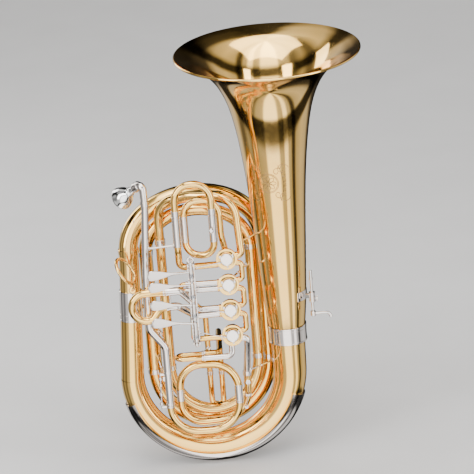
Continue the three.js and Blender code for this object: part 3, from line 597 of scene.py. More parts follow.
# ---- wide inner tubing ----
def make_inner_tubing():
    top = arch(BRANCH_TOP_X, RETURN_X, BRANCH_TOP, 91, BIG_Y, RETURN_Y, 64)
    collars = [
        ring((BRANCH_TOP_X, BIG_Y, BRANCH_TOP), UP, 17, 18.6, 9, 0.9, 48, material=BRASS),
        ring((RETURN_X, RETURN_Y, BRANCH_TOP), UP, 14.8, 16.4, 12, 0.9, 48),
    ]
    piece("top_bow_tube", [sweep(top, 17.2, 15.2, WIDE_WALL, 48), *collars], ["top_bow"])
    wide = [Vector((RETURN_X, RETURN_Y, BRANCH_TOP))]
    wide += arch(RETURN_X, INNER_LEFT_X, INNER_SPRING, 108, RETURN_Y, INNER_LEFT_Y, 64)
    over = arch(INNER_LEFT_X, SMALL_RIGHT_X, INNER_TOP, 76, INNER_LEFT_Y, SMALL_RIGHT_Y, 56)
    under = arch(SMALL_RIGHT_X, SMALL_LEFT_X, SMALL_SPRING, 92, SMALL_RIGHT_Y, SMALL_LEFT_Y, 56)
    path = wide + over + under + [Vector((SMALL_LEFT_X, SMALL_LEFT_Y, 430))]
    total = lengths(path)
    start_r, end_r = 15, 8.3
    shapes = [sweep(path, start_r, end_r, WALL, 40)]
    # Nickel collars where the tubes are joined.
    for spot in (wide[1], wide[-1], over[0], over[-1], under[0], under[-1]):
        r = start_r + (end_r - start_r) * (total[path.index(spot)] / total[-1])
        shapes.append(ring(spot, UP, r - 0.2, r + 1.2, 9, 0.8))
    piece("inner_loops_tube", shapes, ["inner_loops"])
    end = (SMALL_LEFT_X, SMALL_LEFT_Y, 430)
    outlet = [(RIGHT_PORT_X, VALVE_Y, 418), (86, VALVE_Y, 418, 7.8), (80, -38, 526, 38), (0, -4, 522, 60),
              (SMALL_LEFT_X, SMALL_LEFT_Y, 505, 45), end]
    shapes = [tube(outlet, 6.6, 8.2, sides=32), ring(end, UP, 8, 9.6, 10, 0.8)]
    piece("valve_outlet_tube", shapes, ["valve_outlet_bow"])


# ---- leadpipe, receiver and mouthpiece ----
def make_leadpipe():
    top_x = -75.5
    points = [RECEIVER_MOUTH - MOUTH_AXIS * 6, (*RECEIVER_CORNER, 8), (top_x, TUNING_Y, 530)]
    shapes = [
        tube(points, 6.9, 6.5, 1.0, 32, NICKEL),
        lathe([(6.2, -16), (8.2, -14), (7.6, -10), (8.9, -6), (8.9, -2), (7.9, 0), (6, 0)],
              RECEIVER_MOUTH, MOUTH_AXIS, 32, NICKEL),
        ring((top_x, TUNING_Y, 532), UP, 6.2, 7.7, 8, 0.8),
    ]
    piece("receiver_crook", shapes, ["mouthpiece_receiver"])
    points = [(top_x, TUNING_Y, 529), (-84, TUNING_Y, 400, 300), (-86, TUNING_Y, 296, 26),
              (TUNING_LEFT_X, TUNING_Y, 262, 26), (TUNING_LEFT_X, TUNING_Y, TUNING_Z)]
    shapes = [
        tube(points, 6.4, TUNING_R, sides=36, material=NICKEL),
        ring((TUNING_LEFT_X, TUNING_Y, TUNING_Z + 2), UP, 6.4, 7.9, 4, 0.8),
        ring((TUNING_LEFT_X, TUNING_Y, 212), UP, 6.8, 7.6, 5, 0.6),
    ]
    piece("leadpipe_tube", shapes, ["leadpipe"])


def make_mouthpiece():
    shank_in = 10
    shank = [(4.9, 0), (5.3, 11), (5.6, 18), (6.6, 19.4), (6.6, 20.6), (5.9, 21.6), (7.6, 23), (8.6, 24.6),
             (7.6, 26.2), (6.4, 27.4), (7.2, 29.6)]
    bowl = [(9.4, 33), (12.6, 36.8), (15.6, 40.4), (17.6, 44.6), (18.8, 48.8), (19.7, 51.6)]
    rim = [(20.5, 53.2), (20.5, 54.6), (19.6, 55.8), (18, 56), (16.9, 55.3), (16.2, 53.6)]
    inside = [(15.6, 50), (14.6, 45.6), (12.8, 41.2), (10, 36.8), (6.4, 32), (3.6, 28.6), (3.3, 20), (3.8, 0)]
    shape = lathe(shank + bowl + rim + inside, RECEIVER_MOUTH - MOUTH_AXIS * shank_in, MOUTH_AXIS, 64, SILVER)
    piece("mouthpiece_cup", [shape], ["mouthpiece"], "mouthpiece")


# ---- tuning slide and the spiral under the valves ----
def sleeve(x, y, low, high, radius):
    """A vertical outer sleeve with a bead at each end."""
    inner, middle = radius - 0.2, (low + high) / 2
    return [ring((x, y, middle), UP, inner, radius + 0.45, high - low, 0.5),
            ring((x, y, low + 1.2), UP, inner, radius + 0.95, 2.4, 0.8),
            ring((x, y, high - 1.2), UP, inner, radius + 0.8, 1.8, 0.7)]


def leg(start, end, radius, wall, sides):
    """A thin inner leg, which slides in its sleeve."""
    return sweep([start, end], radius, wall=wall, sides=sides, material=NICKEL)


def make_tuning_slide():
    low, insert, top = 96, 26, TUNING_Z - GAP
    shapes = [tube([(TUNING_LEFT_X, TUNING_Y, top), (TUNING_LEFT_X, TUNING_Y, low, 50),
                    (TUNING_RIGHT_X, TUNING_Y, low, 52), (TUNING_RIGHT_X, TUNING_Y, top)], 6.9, sides=36)]
    for x in (TUNING_LEFT_X, TUNING_RIGHT_X):
        shapes += [leg((x, TUNING_Y, TUNING_Z - 4), (x, TUNING_Y, TUNING_Z + insert), 5.6, 0.6, 32),
                   ring((x, TUNING_Y, TUNING_Z - 2.4), UP, 6.6, 7.8, 3.2, 0.8)]
    piece("tuning_slide_bow", shapes, ["tuning_slide"], "tuning_slide")


def make_spiral():
    left, back, over, under = -41, -44, 219, 104
    shapes = [tube([(TUNING_RIGHT_X, TUNING_Y, TUNING_Z), (TUNING_RIGHT_X, TUNING_Y, over, 44),
                    (left, back, over, 44), (left, back, TUNING_Z)], TUNING_R, sides=36)]
    shapes += sleeve(TUNING_RIGHT_X, TUNING_Y, TUNING_Z, TUNING_Z + 30, TUNING_R)
    shapes += sleeve(left, back, TUNING_Z, TUNING_Z + 22, TUNING_R)
    piece("upper_return_tube", shapes, ["upper_return_bow"])
    # The lower turn is brass up to a collar, then nickel silver up to the fourth valve.
    x, y, collar, port = 80, -36, 190, 262
    path = route([
        (left, back, TUNING_Z - 0.5), (left, back, under, 42), (x, y, under, 56), (x, y, collar),
        (x + 6, VALVE_Y, port, 7.6), (RIGHT_PORT_X, VALVE_Y, port)])
    rise = path.index(min((p for p in path if p.x > 70), key=lambda p: abs(p.z - collar)))
    nipple = [(1, 0), (3.4, 0), (2.6, 5), (1, 5)]
    shapes = [
        sweep(path[:rise + 1], 6.8, 6.6, WALL, 36),
        sweep(path[rise:], 6.7, 6, WALL, 36, NICKEL),
        ring((x, y, collar), UP, 6.5, 7.9, 8, 0.8),
        ring((x, y, 172), UP, 6.5, 7.6, 4, 0.7, material=BRASS),
        *[slab((KEY_X + side, -44, KEY_Z), (1.6, 12, 6)) for side in (4, -4)],
        lathe(nipple, (74, -42, 130), FRONT, 20, NICKEL),
    ]
    piece("lower_return_tube", shapes, ["lower_return_bow"])


def make_water_key():
    x, y, z = KEY_X, -48, KEY_Z
    touch = [(x, y, z), (x + 0.5, y - 4, z + 10), (x + 1, y - 6.4, z + 20), (x + 1, y - 7, z + 27)]
    pad = [(x, y, z), (x - 2, y - 2.5, z - 8), (x - 4, y - 3, z - 16), (x - 5, y - 2.6, z - 23)]
    shapes = [
        bar((x - 5.4, y, z), (x + 5.4, y, z), 0.9, material=STEEL),
        bar((x - 2.9, y, z), (x + 2.9, y, z), 2.2),
        rod(touch, 1.7, 1.3, 12, 0.7),
        rod(pad, 1.7, 1.3, 12, 0.7),
        disc((x + 1, y - 7.9, z + 27), (0, 1, 0.1), 4.5, 1.6, 0.6, 28, 0.4),
        disc((x - 5, y - 2.8, z - 22), BACK, 3.3, 2.2, 0.5, 24),
        disc((x - 5, y - 0.6, z - 22), BACK, 2.9, 1.2, 0.3, 24, material=CORK),
        coil((x + 3.2, y, z), RIGHT, 2.6, 0.35, 3.5, 1.9),
    ]
    piece("water_key_lever", shapes, ["water_key"], "water_key")


# ---- the slides of the four valves ----
def collar_x(x, y, z, radius, length=3, material=NICKEL):
    return ring((x, y, z), RIGHT, radius - 0.3, radius + 0.9, length, 0.6, 28, material=material)


def make_first_slide():
    left, right, inner_left, inner_right = -24, 40, -10, 53
    front, back, foot, r, insert = -66, -51, 505, 6.5, 22
    top, end = 563, foot + GAP
    port_r = 5.6
    shapes = [tube([(LEFT_PORT_X, VALVE_Y, 404), (left, -50, 404, 14), (left, front, 440, 30),
                    (left, front, foot)], port_r, r, sides=36)]
    shapes += sleeve(left, front, 450, foot, r)
    piece("slide_1_left_tube", shapes, ["slide_1_left_sleeve"])
    shapes = [tube([(left, front, end), (left, front, top, 31), (right, front, top, 31),
                    (right, front, end)], r, sides=36)]
    for x in (left, right):
        shapes += [leg((x, front, foot - insert), (x, front, foot + 6), 5.1, 0.6, 32),
                   ring((x, front, foot + 6), UP, r - 0.4, r + 0.6, 11, 0.6)]
    piece("slide_1_crook_bow", shapes, ["slide_1_crook"], "slide_1")
    shapes = [tube([
        (right, front, foot), (right, front, 428, 24), (inner_left, back, 428, 24),
        (inner_left, back, 527, 28), (inner_right, back, 527, 30), (inner_right, back, 460, 60),
        (VALVE_X - 1, VALVE_Y + 1, VALVE_Z[0] + CASING_R - 1)], r, port_r, sides=36)]
    shapes += sleeve(right, front, 455, foot, r)
    shapes += sleeve(inner_left, back, 452, 500, r - 0.25)
    # The round-headed stop screw on the right-hand sleeve.
    head = (right - 3, front - 11, 478)
    shapes += [bar((right - 2, front - 6, 478), head, 1.6),
               disc(head, (0, -1, 0.1), 4.4, 2.6, 0.8, 28, 0.6)]
    piece("slide_1_inner_tube", shapes, ["slide_1_inner_loop"])


def make_second_slide():
    """A short crook just behind the rack."""
    end_x, r, wall = -16, 4.6, 0.7
    start_x, far_x = end_x - GAP, end_x - 9
    high, low = VALVE_Z[1] + PAIR, VALVE_Z[1] - PAIR
    shapes = []
    for z in (high, low):
        shapes.append(tube([(LEFT_PORT_X, VALVE_Y, z), (end_x, VALVE_Y, z)], r, wall=wall, material=NICKEL))
        shapes += [collar_x(end_x + 1.5, VALVE_Y, z, r), collar_x(LEFT_FACE + 0.5, VALVE_Y, z, r, 4, BRASS)]
    shapes.append(bar((6, VALVE_Y, high - 4), (6, VALVE_Y, low + 4), 1.4))
    piece("slide_2_sleeve_pair", shapes, ["slide_2_sleeves"])
    shapes = [tube([(start_x, VALVE_Y, high), (far_x, VALVE_Y, high, 5.9),
                    (far_x, VALVE_Y, low, 5.9), (start_x, VALVE_Y, low)], r, wall=wall)]
    shapes += [leg((end_x - 3, VALVE_Y, z), (end_x + 20, VALVE_Y, z), 3.4, 0.5, 24) for z in (high, low)]
    piece("slide_2_bow", shapes, ["slide_2_crook"], "slide_2")


def make_third_slide():
    """The long crook that reaches out past the levers."""
    end_x, r, port_r, far_x = -52, 7, 5, -113
    high, low, foot = 370.5, 342.5, 318.5
    start_x, brace_x = end_x - GAP, -45
    shapes = []
    for source, z, rise_x, level_x in ((VALVE_Z[2] + PAIR, high, 6, -26), (VALVE_Z[2] - PAIR, low, -2, -32)):
        points = [(LEFT_PORT_X, VALVE_Y, source), (rise_x, VALVE_Y - 2, source, 10),
                  (level_x, CROOK_Y, z, 10), (end_x, CROOK_Y, z)]
        shapes += [tube(points, port_r, r, sides=32, material=NICKEL), collar_x(end_x + 1.5, CROOK_Y, z, r),
                   collar_x(LEFT_FACE + 0.5, VALVE_Y, source, port_r, 4, BRASS)]
    shapes.append(bar((brace_x, CROOK_Y + 2, high - 6), (brace_x, CROOK_Y + 2, low + 6), 1.6))
    piece("slide_3_sleeve_pair", shapes, ["slide_3_sleeves"])
    points = [(start_x, CROOK_Y, high), (far_x, CROOK_Y, high, 25.5), (far_x, CROOK_Y, foot, 25.5),
              (-79.5, CROOK_Y, foot, 16), (-61.5, CROOK_Y, low, 16), (start_x, CROOK_Y, low)]
    shapes = [tube(points, r, sides=36)]
    shapes += [leg((end_x - 3, CROOK_Y, z), (end_x + 12, CROOK_Y, z), 5.3, 0.5, 28) for z in (high, low)]
    shapes.append(ring((end_x - 3, CROOK_Y, high), RIGHT, r - 0.4, r + 0.7, 3.4, 0.6))
    piece("slide_3_bow", shapes, ["slide_3_crook"], "slide_3")


def make_fourth_slide():
    """The long loop behind, and its level slide under the valves."""
    z, end_x, r, bow_r = 234, 6, 5.2, 4.1
    front, back, rear = -60, VALVE_Y + 9, 78
    port, bottom, near_x, far_x = 266, 88, 13, 34
    shapes = [
        tube([(LEFT_PORT_X, VALVE_Y, port), (-9, VALVE_Y, port, 12), (-9, rear, port, 14),
              (near_x, rear, port, 10), (near_x, rear, bottom, 10), (far_x, rear, bottom, 10),
              (far_x, rear, z, 14), (far_x, back, z, 9), (end_x, back, z)], r),
        collar_x(LEFT_FACE + 0.5, VALVE_Y, port, r, 4),
        *[ring((x, rear, 150), UP, r - 0.2, r + 0.8, 7, 0.6) for x in (near_x, far_x)],
        collar_x(end_x + 1.5, back, z, r),
    ]
    piece("fourth_valve_long_tube", shapes, ["fourth_valve_long_loop"])
    up_x = VALVE_X - 3
    points = [(end_x, front, z), (up_x, front, z, 9), (up_x, VALVE_Y - 4, VALVE_Z[3] - CASING_R + 1)]
    shapes = [tube(points, r, material=NICKEL), collar_x(end_x + 1.5, front, z, r)]
    piece("slide_4_return_tube", shapes, ["slide_4_return"])
    start_x, turn_x, bend = end_x - GAP, -42, 10.9
    points = [(start_x, back, z), (turn_x, back, z, bend), (turn_x, front, z, bend), (start_x, front, z)]
    shapes = [tube(points, bow_r)]
    shapes += [leg((end_x - 3, y, z), (end_x + 14, y, z), 3.8, 0.5, 24) for y in (back, front)]
    shapes += [collar_x(end_x - 2.4, y, z, bow_r) for y in (back, front)]
    piece("slide_4_bow", shapes, ["slide_4_crook"], "slide_4")


# ---- valves ----
def valve_casing():
    """A turned shell with raised bands, a front plate with screws, and the cork bumpers."""
    wall, hub = 15.4, 4.6
    edge, waist = CASING_R + 0.5, CASING_R - 0.5
    band = [(wall, -HALF), (CASING_R, -HALF), (edge, -HALF + 1.2), (CASING_R, -HALF + 2.4),
            (waist, -HALF + 3.4), (waist, HALF - 3.4), (CASING_R, HALF - 2.4),
            (CASING_R + 0.4, HALF - 1.2), (CASING_R, HALF), (wall, HALF)]
    plate = [(hub, 0), (16.6, 0), (17, 0.5), (17, 1.3), (16.2, 1.8), (8, 1.8), (7, 3.2), (hub, 3.2)]
    groove = [(9.5, 0), (10.2, 0.6), (12.2, 0.6), (12.9, 0)]
    shapes = [lathe(band, (0, 0, 0), BACK, 56), lathe(plate, (0, -HALF + 2, 0), FRONT, 48),
              lathe(groove, (0, -HALF + 0.25, 0), FRONT, 48)]
    for place in (35, 155, 275):
        x, z = polar(13.8, radians(place))
        shapes += screw((x, -HALF, z), FRONT, 1.5)
    # Bumpers that stop the arm at each end of its quarter turn.
    for side in (1, -1):
        shapes += [slab((side * 10.5, -HALF - 3, 4.5), (4, 4.5, 5)),
                   slab((side * 8.2, -HALF - 3.4, 4), (1.8, 3.2, 3.6), material=CORK)]
    return shapes


def rear_cap():
    """A screw cap with a knurled edge."""
    profile = [(0, -6), (14.9, -6), (14.9, 0.4), (18.2, 0.6), (18.6, 1.2), (18.6, 2.2), (17.8, 2.8),
               (9, 3), (8, 2.4), (3, 2.4), (2.2, 2.9), (0, 2.9)]
    shapes = [lathe(profile, (0, HALF, 0), BACK, 56, NICKEL)]
    for angle in full_turn(36):
        x, z = polar(18.55, angle)
        shapes.append(slab((x, HALF + 1.7, z), (0.5, 1.3, 1.5), Matrix.Rotation(-angle, 3, "Y"), 0.15))
    return shapes


def stop_arm():
    """The arm that turns the rotor, its pin and the round front cap."""
    return [
        disc((0, -HALF - 2, 0), FRONT, 5.6, 5.8, 0.6, 32),
        slab((PIN / 2, -HALF - 6.4, PIN / 2), (10, 2.4, 5), Matrix.Rotation(pi / -4, 3, "Y"), 0.6),
        bar((PIN, -HALF - 7, PIN), (PIN, -HALF - 12, PIN), 1.5, material=STEEL),
        bar((0, -HALF - 7, 0), (0, -HALF - 18, 0), 1.6, material=STEEL),
        disc((0, -HALF - 17, 0), FRONT, 11, 3, 0.9, 64),
        lathe([(9.2, 0), (9.6, 0.25), (10, 0)], (0, -HALF - 19.95, 0), FRONT, 64, NICKEL),
    ]


def make_valves():
    for number, z in enumerate(VALVE_Z, 1):
        place = Matrix.Translation((VALVE_X, VALVE_Y, z)) @ Matrix.Rotation(-VALVE_TILT, 4, "X")
        casing, cap, arm = ([([place @ Vector(v) for v in verts], *rest) for verts, *rest in shapes]
                            for shapes in (valve_casing(), rear_cap(), stop_arm()))
        piece(f"valve_{number}_casing_shell", casing, [f"valve_casing_{number}"])
        piece(f"valve_{number}_rear_cap_turned", cap, [f"valve_rear_cap_{number}"])
        piece(f"stop_arm_{number}_turned", arm, [f"stop_arm_{number}"], f"rotor_{number}")
        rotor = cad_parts[f"rotor_{number}"]
        rotor.data.materials.clear()
        rotor.data.materials.append(BRASS)
    # Bows between neighbouring valves.
    r, start_x, far_x, bend = 5, RIGHT_FACE - 4, RIGHT_FACE + 7, 6.5
    for i in range(3):
        high, low = VALVE_Z[i] - 8, VALVE_Z[i + 1] + 8
        shapes = [tube([(start_x, VALVE_Y, high), (far_x, VALVE_Y, high, bend),
                        (far_x, VALVE_Y, low, bend), (start_x, VALVE_Y, low)], r, wall=0.7, sides=32)]
        shapes += [ring((RIGHT_FACE + 0.4, VALVE_Y, z), RIGHT, r - 0.2, r + 0.8, 2, 0.5, 28, material=BRASS)
                   for z in (high, low)]
        piece(f"valve_knuckle_{i + 1}_tube", shapes, [f"valve_knuckle_{i + 1}"])


# ---- levers, rack and links ----
def spoon(lever):
    """A spoon-shaped finger plate: a flat teardrop with a crowned face and rounded edges."""
    outline = []
    root, shoulder, wide = LEVER_REACH - 52, LEVER_REACH - 4, 9.2
    tip, steps = shoulder + wide, 40
    for i in range(steps + 1):
        x = root + (tip - root) * (1 - cos(pi * i / steps)) / 2
        if x > shoulder:
            half = sqrt(max(wide ** 2 - (x - shoulder) ** 2, 0.0))
        else:
            share = (x - root) / (shoulder - root)
            half = 1.9 + (wide - 1.9) * (share * share * (3 - 2 * share)) ** 1.25
        outline.append((x, half))
    tilt = atan2(PADDLE_Z[lever] - STEM_Z[lever], LEVER_REACH)
    turn = Matrix.Rotation(pi + LEVER_REST, 3, "Z") @ Matrix.Rotation(-tilt, 3, "Y")
    root_point = Vector((HINGE_X, HINGE_Y, STEM_Z[lever]))
    # The plate's section: share of the half width, and height above the middle.
    crown = [(-1, 0.35), (-0.93, 0.95), (-0.6, 1.15), (0, 1.25), (0.6, 1.15), (0.93, 0.95), (1, 0.35)]
    section = crown + [(share, -height) for share, height in reversed(crown)]
    verts = [turn @ Vector((x, height, share * max(half, 0.05))) + root_point
             for x, half in outline for share, height in section]
    return stack(verts, len(section))


def arm_end(z):
    half = LEVER_TRAVEL / 2
    return Vector((HINGE_X - LEVER_ARM * sin(half), HINGE_Y + LEVER_ARM * cos(half), z))


def make_levers():
    reach = Vector((-cos(LEVER_REST), -sin(LEVER_REST), 0))
    hinge = Vector((HINGE_X, HINGE_Y, 0))
    for i, (low, high) in enumerate(HUB_SPANS):
        root = hinge + Vector((0, 0, STEM_Z[i]))
        rise = Vector((0, 0, (PADDLE_Z[i] - STEM_Z[i]) / LEVER_REACH))
        stem = [root + (reach + rise) * d for d in (2, 12, 22, 34)]
        end = arm_end(ARM_Z[i])
        arm = [hinge + Vector((0, 2, ARM_Z[i])), hinge.lerp(end, 0.5) + Vector((0, 0, ARM_Z[i] / 2)), end]
        shapes = [
            lathe([(2.35, low), (3.4, low), (4, low + 0.6), (4, high - 0.6), (3.4, high), (2.35, high)],
                  hinge, UP, 28, NICKEL),
            ring(root, UP, 3.8, 4.7, 4.4, 0.6, 28),
            rod(stem, 1.9, 1.6, 16),
            spoon(i),
            rod(arm, 1.9, 1.6, 14),
            disc(end - Vector((0, 0, 2)), UP, 3, 4, 0.6, 24),
        ]
        name = f"lever_{i + 1}"
        piece(name + "_spoon", shapes, [name], name)
        make_link(i)


def make_link(i):
    start = arm_end(ARM_Z[i]) + Vector((0, 0, 4.4))
    along = HALF + 14.6
    end = Vector((VALVE_X + PIN,
                  VALVE_Y - along * cos(VALVE_TILT) + PIN * sin(VALVE_TILT),
                  VALVE_Z[i] + along * sin(VALVE_TILT) + PIN * cos(VALVE_TILT)))
    way = (end - start).normalized()
    shapes = [
        bar(start, end, 0.95, material=STEEL),
        disc(start - Vector((0, 0, 2)), UP, 2.6, 4, 0.6, 24),
        bar(start + way * 4, start + way * 13, 1.5),
        bar(end - way * 13, end - way * 7, 1.4),
        ring(start + way * 15, way, 0.8, 2.1, 1.6, 0.3, 6),
    ]
    name = f"link_{i + 1}"
    piece(name + "_rod", shapes, [name], name)


def plate_shape(centre, width, height, depth):
    """An upright plate with half-round ends, facing the front."""
    outline = []
    r = width / 2
    for top in (1, -1):
        for i in range(17):
            angle = pi * i / 16
            outline.append((top * r * cos(angle), top * (height / 2 - r + r * sin(angle))))
    edge = 0.5
    verts = []
    for y, inset in ((depth / 2, edge), (depth / 2 - edge, 0), (-depth / 2 + edge, 0), (-depth / 2, edge)):
        for x, z in outline:
            shrink = Vector((x, 0, z)).normalized() * inset
            verts.append(Vector(centre) + Vector((x, y, z)) - shrink)
    return stack(verts, len(outline))


def make_rack():
    x, y, back_y = HINGE_X, HINGE_Y, HINGE_Y + 11.2
    height, middle = RACK_TOP - RACK_BOTTOM, (RACK_TOP + RACK_BOTTOM) / 2
    # Two side rails leave room for the short arms between them.
    shapes = [slab((x + side, back_y, middle), (2.4, 2.6, height - 14)) for side in (-5.2, 5.2)]
    for z in (RACK_TOP - 8, RACK_BOTTOM + 8):
        shapes += [slab((x, y + 4.5, z), (9, 15, 3), edge=0.8), ring((x, y, z), UP, 2.3, 4.4, 4.4, 0.6, 28),
                   plate_shape((x, back_y, z), 13, 18, 2.6)]
        shapes += screw((x, back_y - 1.3, z + (6 if z > middle else -6)), FRONT, 1.9)
    # Cross pieces between the levers.
    shapes += [slab((x, back_y, z), (12, 2.6, 3.2)) for z in (378, 342, 303)]
    piece("lever_rack_frame", shapes, ["lever_rack"])
    shapes = [bar((x, y, RACK_BOTTOM + 3), (x, y, RACK_TOP - 3), 2, 24, material=STEEL)]
    shapes += [coil((x, y, low + 4.5), UP, 4.75, 0.55, 6, 9) for low, _ in HUB_SPANS]
    piece("hinge_rod_and_springs", shapes, ["hinge_rod"])


# ---- thumb ring, hand rest and braces ----
def make_thumb_ring():
    long = Vector((0.58, 0, -0.815))
    deep = Vector((0.2, 0.97, 0.14)).normalized()
    centre = Vector((-120, -22, 395))
    path = [centre + (long * cos(a) + deep * sin(a)) * 25
            for a in [2 * pi * i / 72 for i in range(73)]]
    foot = centre + long * 25
    root = Vector((-112, 11, 345))
    stem = [foot, foot.lerp(root, 0.5) + Vector((1.5, -2, 0)), root]
    shapes = [
        sweep(path, 2.6, sides=16, oval=1.25),
        sweep(stem, 2.8, 2.4, sides=18),
        disc(root + Vector((0, -1.6, 1.5)), (0.1, 1, -0.35), 6.5, 3, 1.2, 32, material=BRASS),
    ]
    piece("thumb_ring_hoop", shapes, ["thumb_ring"])


def make_hand_rest():
    x, y, z = 206, -2, 312
    socket = [
        ring((x, y, z), UP, 3, 5.2, 16, 0.8, 32),
        slab((x - 7, y + 6, z), (12, 5, 8), Matrix.Rotation(-0.5, 3, "Z"), 0.8),
        *[ring((x, y, z + rise), UP, 3, 5.8, 2, 0.6, 32) for rise in (8, -8)],
    ]
    # A saddle plate soldered to the side of the bell.
    for place in range(38, 81, 7):
        angle = radians(place)
        socket.append(slab(on_bell(angle, z, 0.5), (6, 1.6, 17), Matrix.Rotation(angle, 3, "Z")))
    piece("hand_rest_clamp", socket, ["hand_rest_socket"])
    post = [bar((x, y, 285), (x, y, 362), 2.5, 24), ring((x, y, 346), UP, 2.3, 3.3, 3, 0.5, 24)]
    piece("hand_rest_post_rod", post, ["hand_rest_post"], "hand_rest_post")
    arm = [
        disc((x, y, 276), UP, 5, 8.6, 0.8, 32),
        rod([(x + 4, y, 280), (x + 14, y, 280.6), (x + 24, y, 280)], 2.1, 1.8),
        rod([(x + 23, y, 280.5), (x + 27, y, 279.5), (x + 30, y, 276), (x + 31, y, 272)], 2.4, 2.8),
    ]
    piece("hand_rest_arm_bent", arm, ["hand_rest_arm"], "hand_rest_arm")
    axis_z = z - 4
    thumb = [bar((x + 3.4, y, axis_z), (x + 8, y, axis_z), 1.5, material=STEEL),
             disc((x + 7, y, axis_z), RIGHT, 4.3, 3, 0.6, 32)]
    for angle in full_turn(20):
        spot = (x + 8.5, y + 4.3 * cos(angle), axis_z + 4.3 * sin(angle))
        thumb.append(slab(spot, (2.2, 0.5, 0.5), Matrix.Rotation(angle, 3, "X"), 0.12))
    piece("hand_rest_thumb_screw", thumb, ["hand_rest_screw"], "hand_rest_screw")


def brace(a, b):
    """A round strut with a flange at each end and a bead in the middle."""
    a, b, radius = Vector(a), Vector(b), 1.7
    way = (b - a).normalized()
    flanges = [disc(end, out, 4.6, 1.8, 0.7, 24, 0.8) for end, out in ((a, way), (b, -way))]
    return [bar(a, b, radius), *flanges, ring(a.lerp(b, 0.5), way, radius - 0.2, radius + 0.9, 3, 0.5, 20)]


# Where the braces run, from tube to tube.
BRACES = [
    ((-75, TUNING_Y - 1, 449), (-30, -65, 452)), ((83, -42, 440), (121, 14, 436)),
    ((84, -40, 196), (129, 22, 188)), ((-66, TUNING_Y, 200), (-78, 42, 206)),
    ((-95, 48, 300), (-102, 38, 300)), ((-72, 46, 250), (-63, 26, 250)),
    ((112, 60, 330), (116, 72, 334)), ((-102, 28, 470), (-68, 46, 452)),
    ((20, 52, 496), (14, 52, 492)), ((60, VALVE_Y + 20, 364), (94, 46, 364)),
    ((14, 72, 200), (4, -30, 226)),
]


def make_braces():
    piece("tube_braces", [shape for ends in BRACES for shape in brace(*ends)])


def make_stop_rod():
    """The small threaded stop beside the leadpipe, with its knurled nuts."""
    x, y = -75, TUNING_Y + 4
    shapes = [bar((x - 1, y, 142), (x + 1, y, 212), 1.3, material=STEEL), slab((x + 5, y, 208), (10, 3, 4)),
              slab((x + 4, y, 146), (9, 3, 4))]
    shapes += [ring((x + (z - 177) / 35, y, z), UP, 1.2, 3.2, 5, 0.8, 16) for z in (152, 170, 188, 200)]
    piece("tuning_stop_rod", shapes)


# ---- floor, light and camera ----
def make_stage():
    floor = bpy.data.meshes.new("studio_floor")
    half, low = 30.0, cad_box[0][2] - 0.002
    floor.from_pydata([(-half, -half, low), (half, -half, low), (half, half, low), (-half, half, low)],
                      [], [(0, 1, 2, 3)])
    floor.materials.append(dull("studio_paper", (0.66, 0.65, 0.64), (0.63, 0.62, 0.61), 0.9, 6))
    obj = new_object("studio_floor", floor)
    # The polished tubes mirror the lights and the room instead of the floor.
    obj.visible_glossy = False


# Area lights: name, place, width and height in metres, and watts. All aim at the tuba's middle.
LIGHTS = [
    ("key_left", (-1.7, -1.5, 1.5), (0.9, 2.0), 40), ("strip_right", (1.7, -1.1, 0.9), (0.5, 2.2), 22),
    ("overhead", (0.1, -0.2, 2.4), (1.8, 1.4), 30), ("back_left", (-1.4, 1.6, 1.3), (0.8, 1.8), 20),
]
LIGHT_AIM = Vector((0.08, 0.0, 0.4))


# What the metal mirrors: brightness by compass direction (0.25 is the front) and by height (0.5 level).
ROUND_BANDS = [
    (0, 0.7), (0.05, 0.25), (0.075, 0.25), (0.1, 0.9), (0.165, 1.2), (0.18, 4.2), (0.295, 4.2), (0.31, 1.2),
    (0.352, 1), (0.36, 3.5), (0.388, 3.5), (0.4, 1), (0.425, 0.9), (0.44, 0.08), (0.465, 0.08), (0.485, 0.9),
    (0.55, 1.2), (0.61, 0.9), (0.65, 0.1), (0.7, 0.02), (0.78, 0.05), (0.81, 0.9), (0.88, 1.2), (0.93, 0.2),
    (0.96, 0.2), (1, 0.7),
]
HEIGHT_BANDS = [
    (0, 0.9), (0.125, 0.9), (0.14, 0.04), (0.205, 0.04), (0.22, 0.85), (0.5, 1), (0.7, 1), (0.74, 0.05),
    (0.8, 0.05), (0.85, 1), (1, 1.4),
]


def grey(bands):
    return [(place, value, value, value) for place, value in bands]


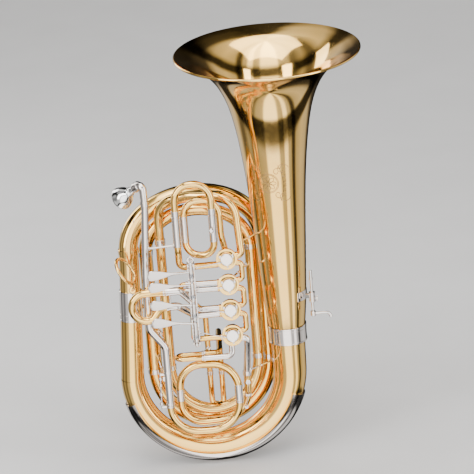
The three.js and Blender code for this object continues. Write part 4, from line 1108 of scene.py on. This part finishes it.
def make_lights():
    for name, place, size, power in LIGHTS:
        lamp = bpy.data.lights.new(name, "AREA")
        lamp.shape = "RECTANGLE"
        lamp.size, lamp.size_y = size
        lamp.energy = power
        obj = new_object(name, lamp)
        obj.location = place
        obj.rotation_euler = (LIGHT_AIM - Vector(place)).to_track_quat("-Z", "Y").to_euler()


def make_world():
    """Light and dark bands all round, by compass direction and by height."""
    world = bpy.data.worlds.new("studio")
    world.use_nodes = True
    bpy.context.scene.world = world
    tree = world.node_tree
    background = tree.nodes["Background"]
    values(background, Strength=0.85)
    where = node(tree, "TexCoord")
    compass = node(tree, "TexGradient")
    compass.gradient_type = "RADIAL"
    join(tree, where, "Generated", compass, "Vector")
    around = ramp_of(tree, grey(ROUND_BANDS))
    join(tree, compass, "Fac", around, "Fac")
    split = node(tree, "SeparateXYZ")
    join(tree, where, "Generated", split, "Vector")
    level = node(tree, "MapRange", From_Min=-1.0)
    join(tree, split, "Z", level, "Value")
    height = ramp_of(tree, grey(HEIGHT_BANDS))
    join(tree, level, "Result", height, "Fac")
    product = node(tree, "VectorMath")
    product.operation = "MULTIPLY"
    join(tree, around, "Color", product, 0)
    join(tree, height, "Color", product, 1)
    join(tree, product, "Vector", background, "Color")


def make_camera():
    elevation, roll, distance, view_width = radians(20), radians(4.5), 7.0, 0.839
    target = Vector((0.081, 0.0, 0.435)) - ORIGIN * MM
    camera = bpy.data.cameras.new("camera")
    camera.sensor_width = 36
    camera.lens = camera.sensor_width * distance / view_width
    camera.clip_end = 50
    obj = new_object("camera", camera)
    away = Vector((0, -cos(elevation), sin(elevation)))
    look = (-away).to_track_quat("-Z", "Y")
    turn = Matrix.Rotation(-roll, 4, "Z")
    obj.matrix_world = Matrix.Translation(target + away * distance) @ look.to_matrix().to_4x4() @ turn
    bpy.context.scene.camera = obj


make_camera()
make_stage()
make_lights()
make_world()
make_bell()
make_ornament()
make_bell_ferrule()
make_bottom_bow()
make_outer_branch()
make_inner_tubing()
make_leadpipe()
make_mouthpiece()
make_tuning_slide()
make_spiral()
make_water_key()
make_first_slide()
make_second_slide()
make_third_slide()
make_fourth_slide()
make_valves()
make_levers()
make_rack()
make_thumb_ring()
make_hand_rest()
make_braces()
make_stop_rod()
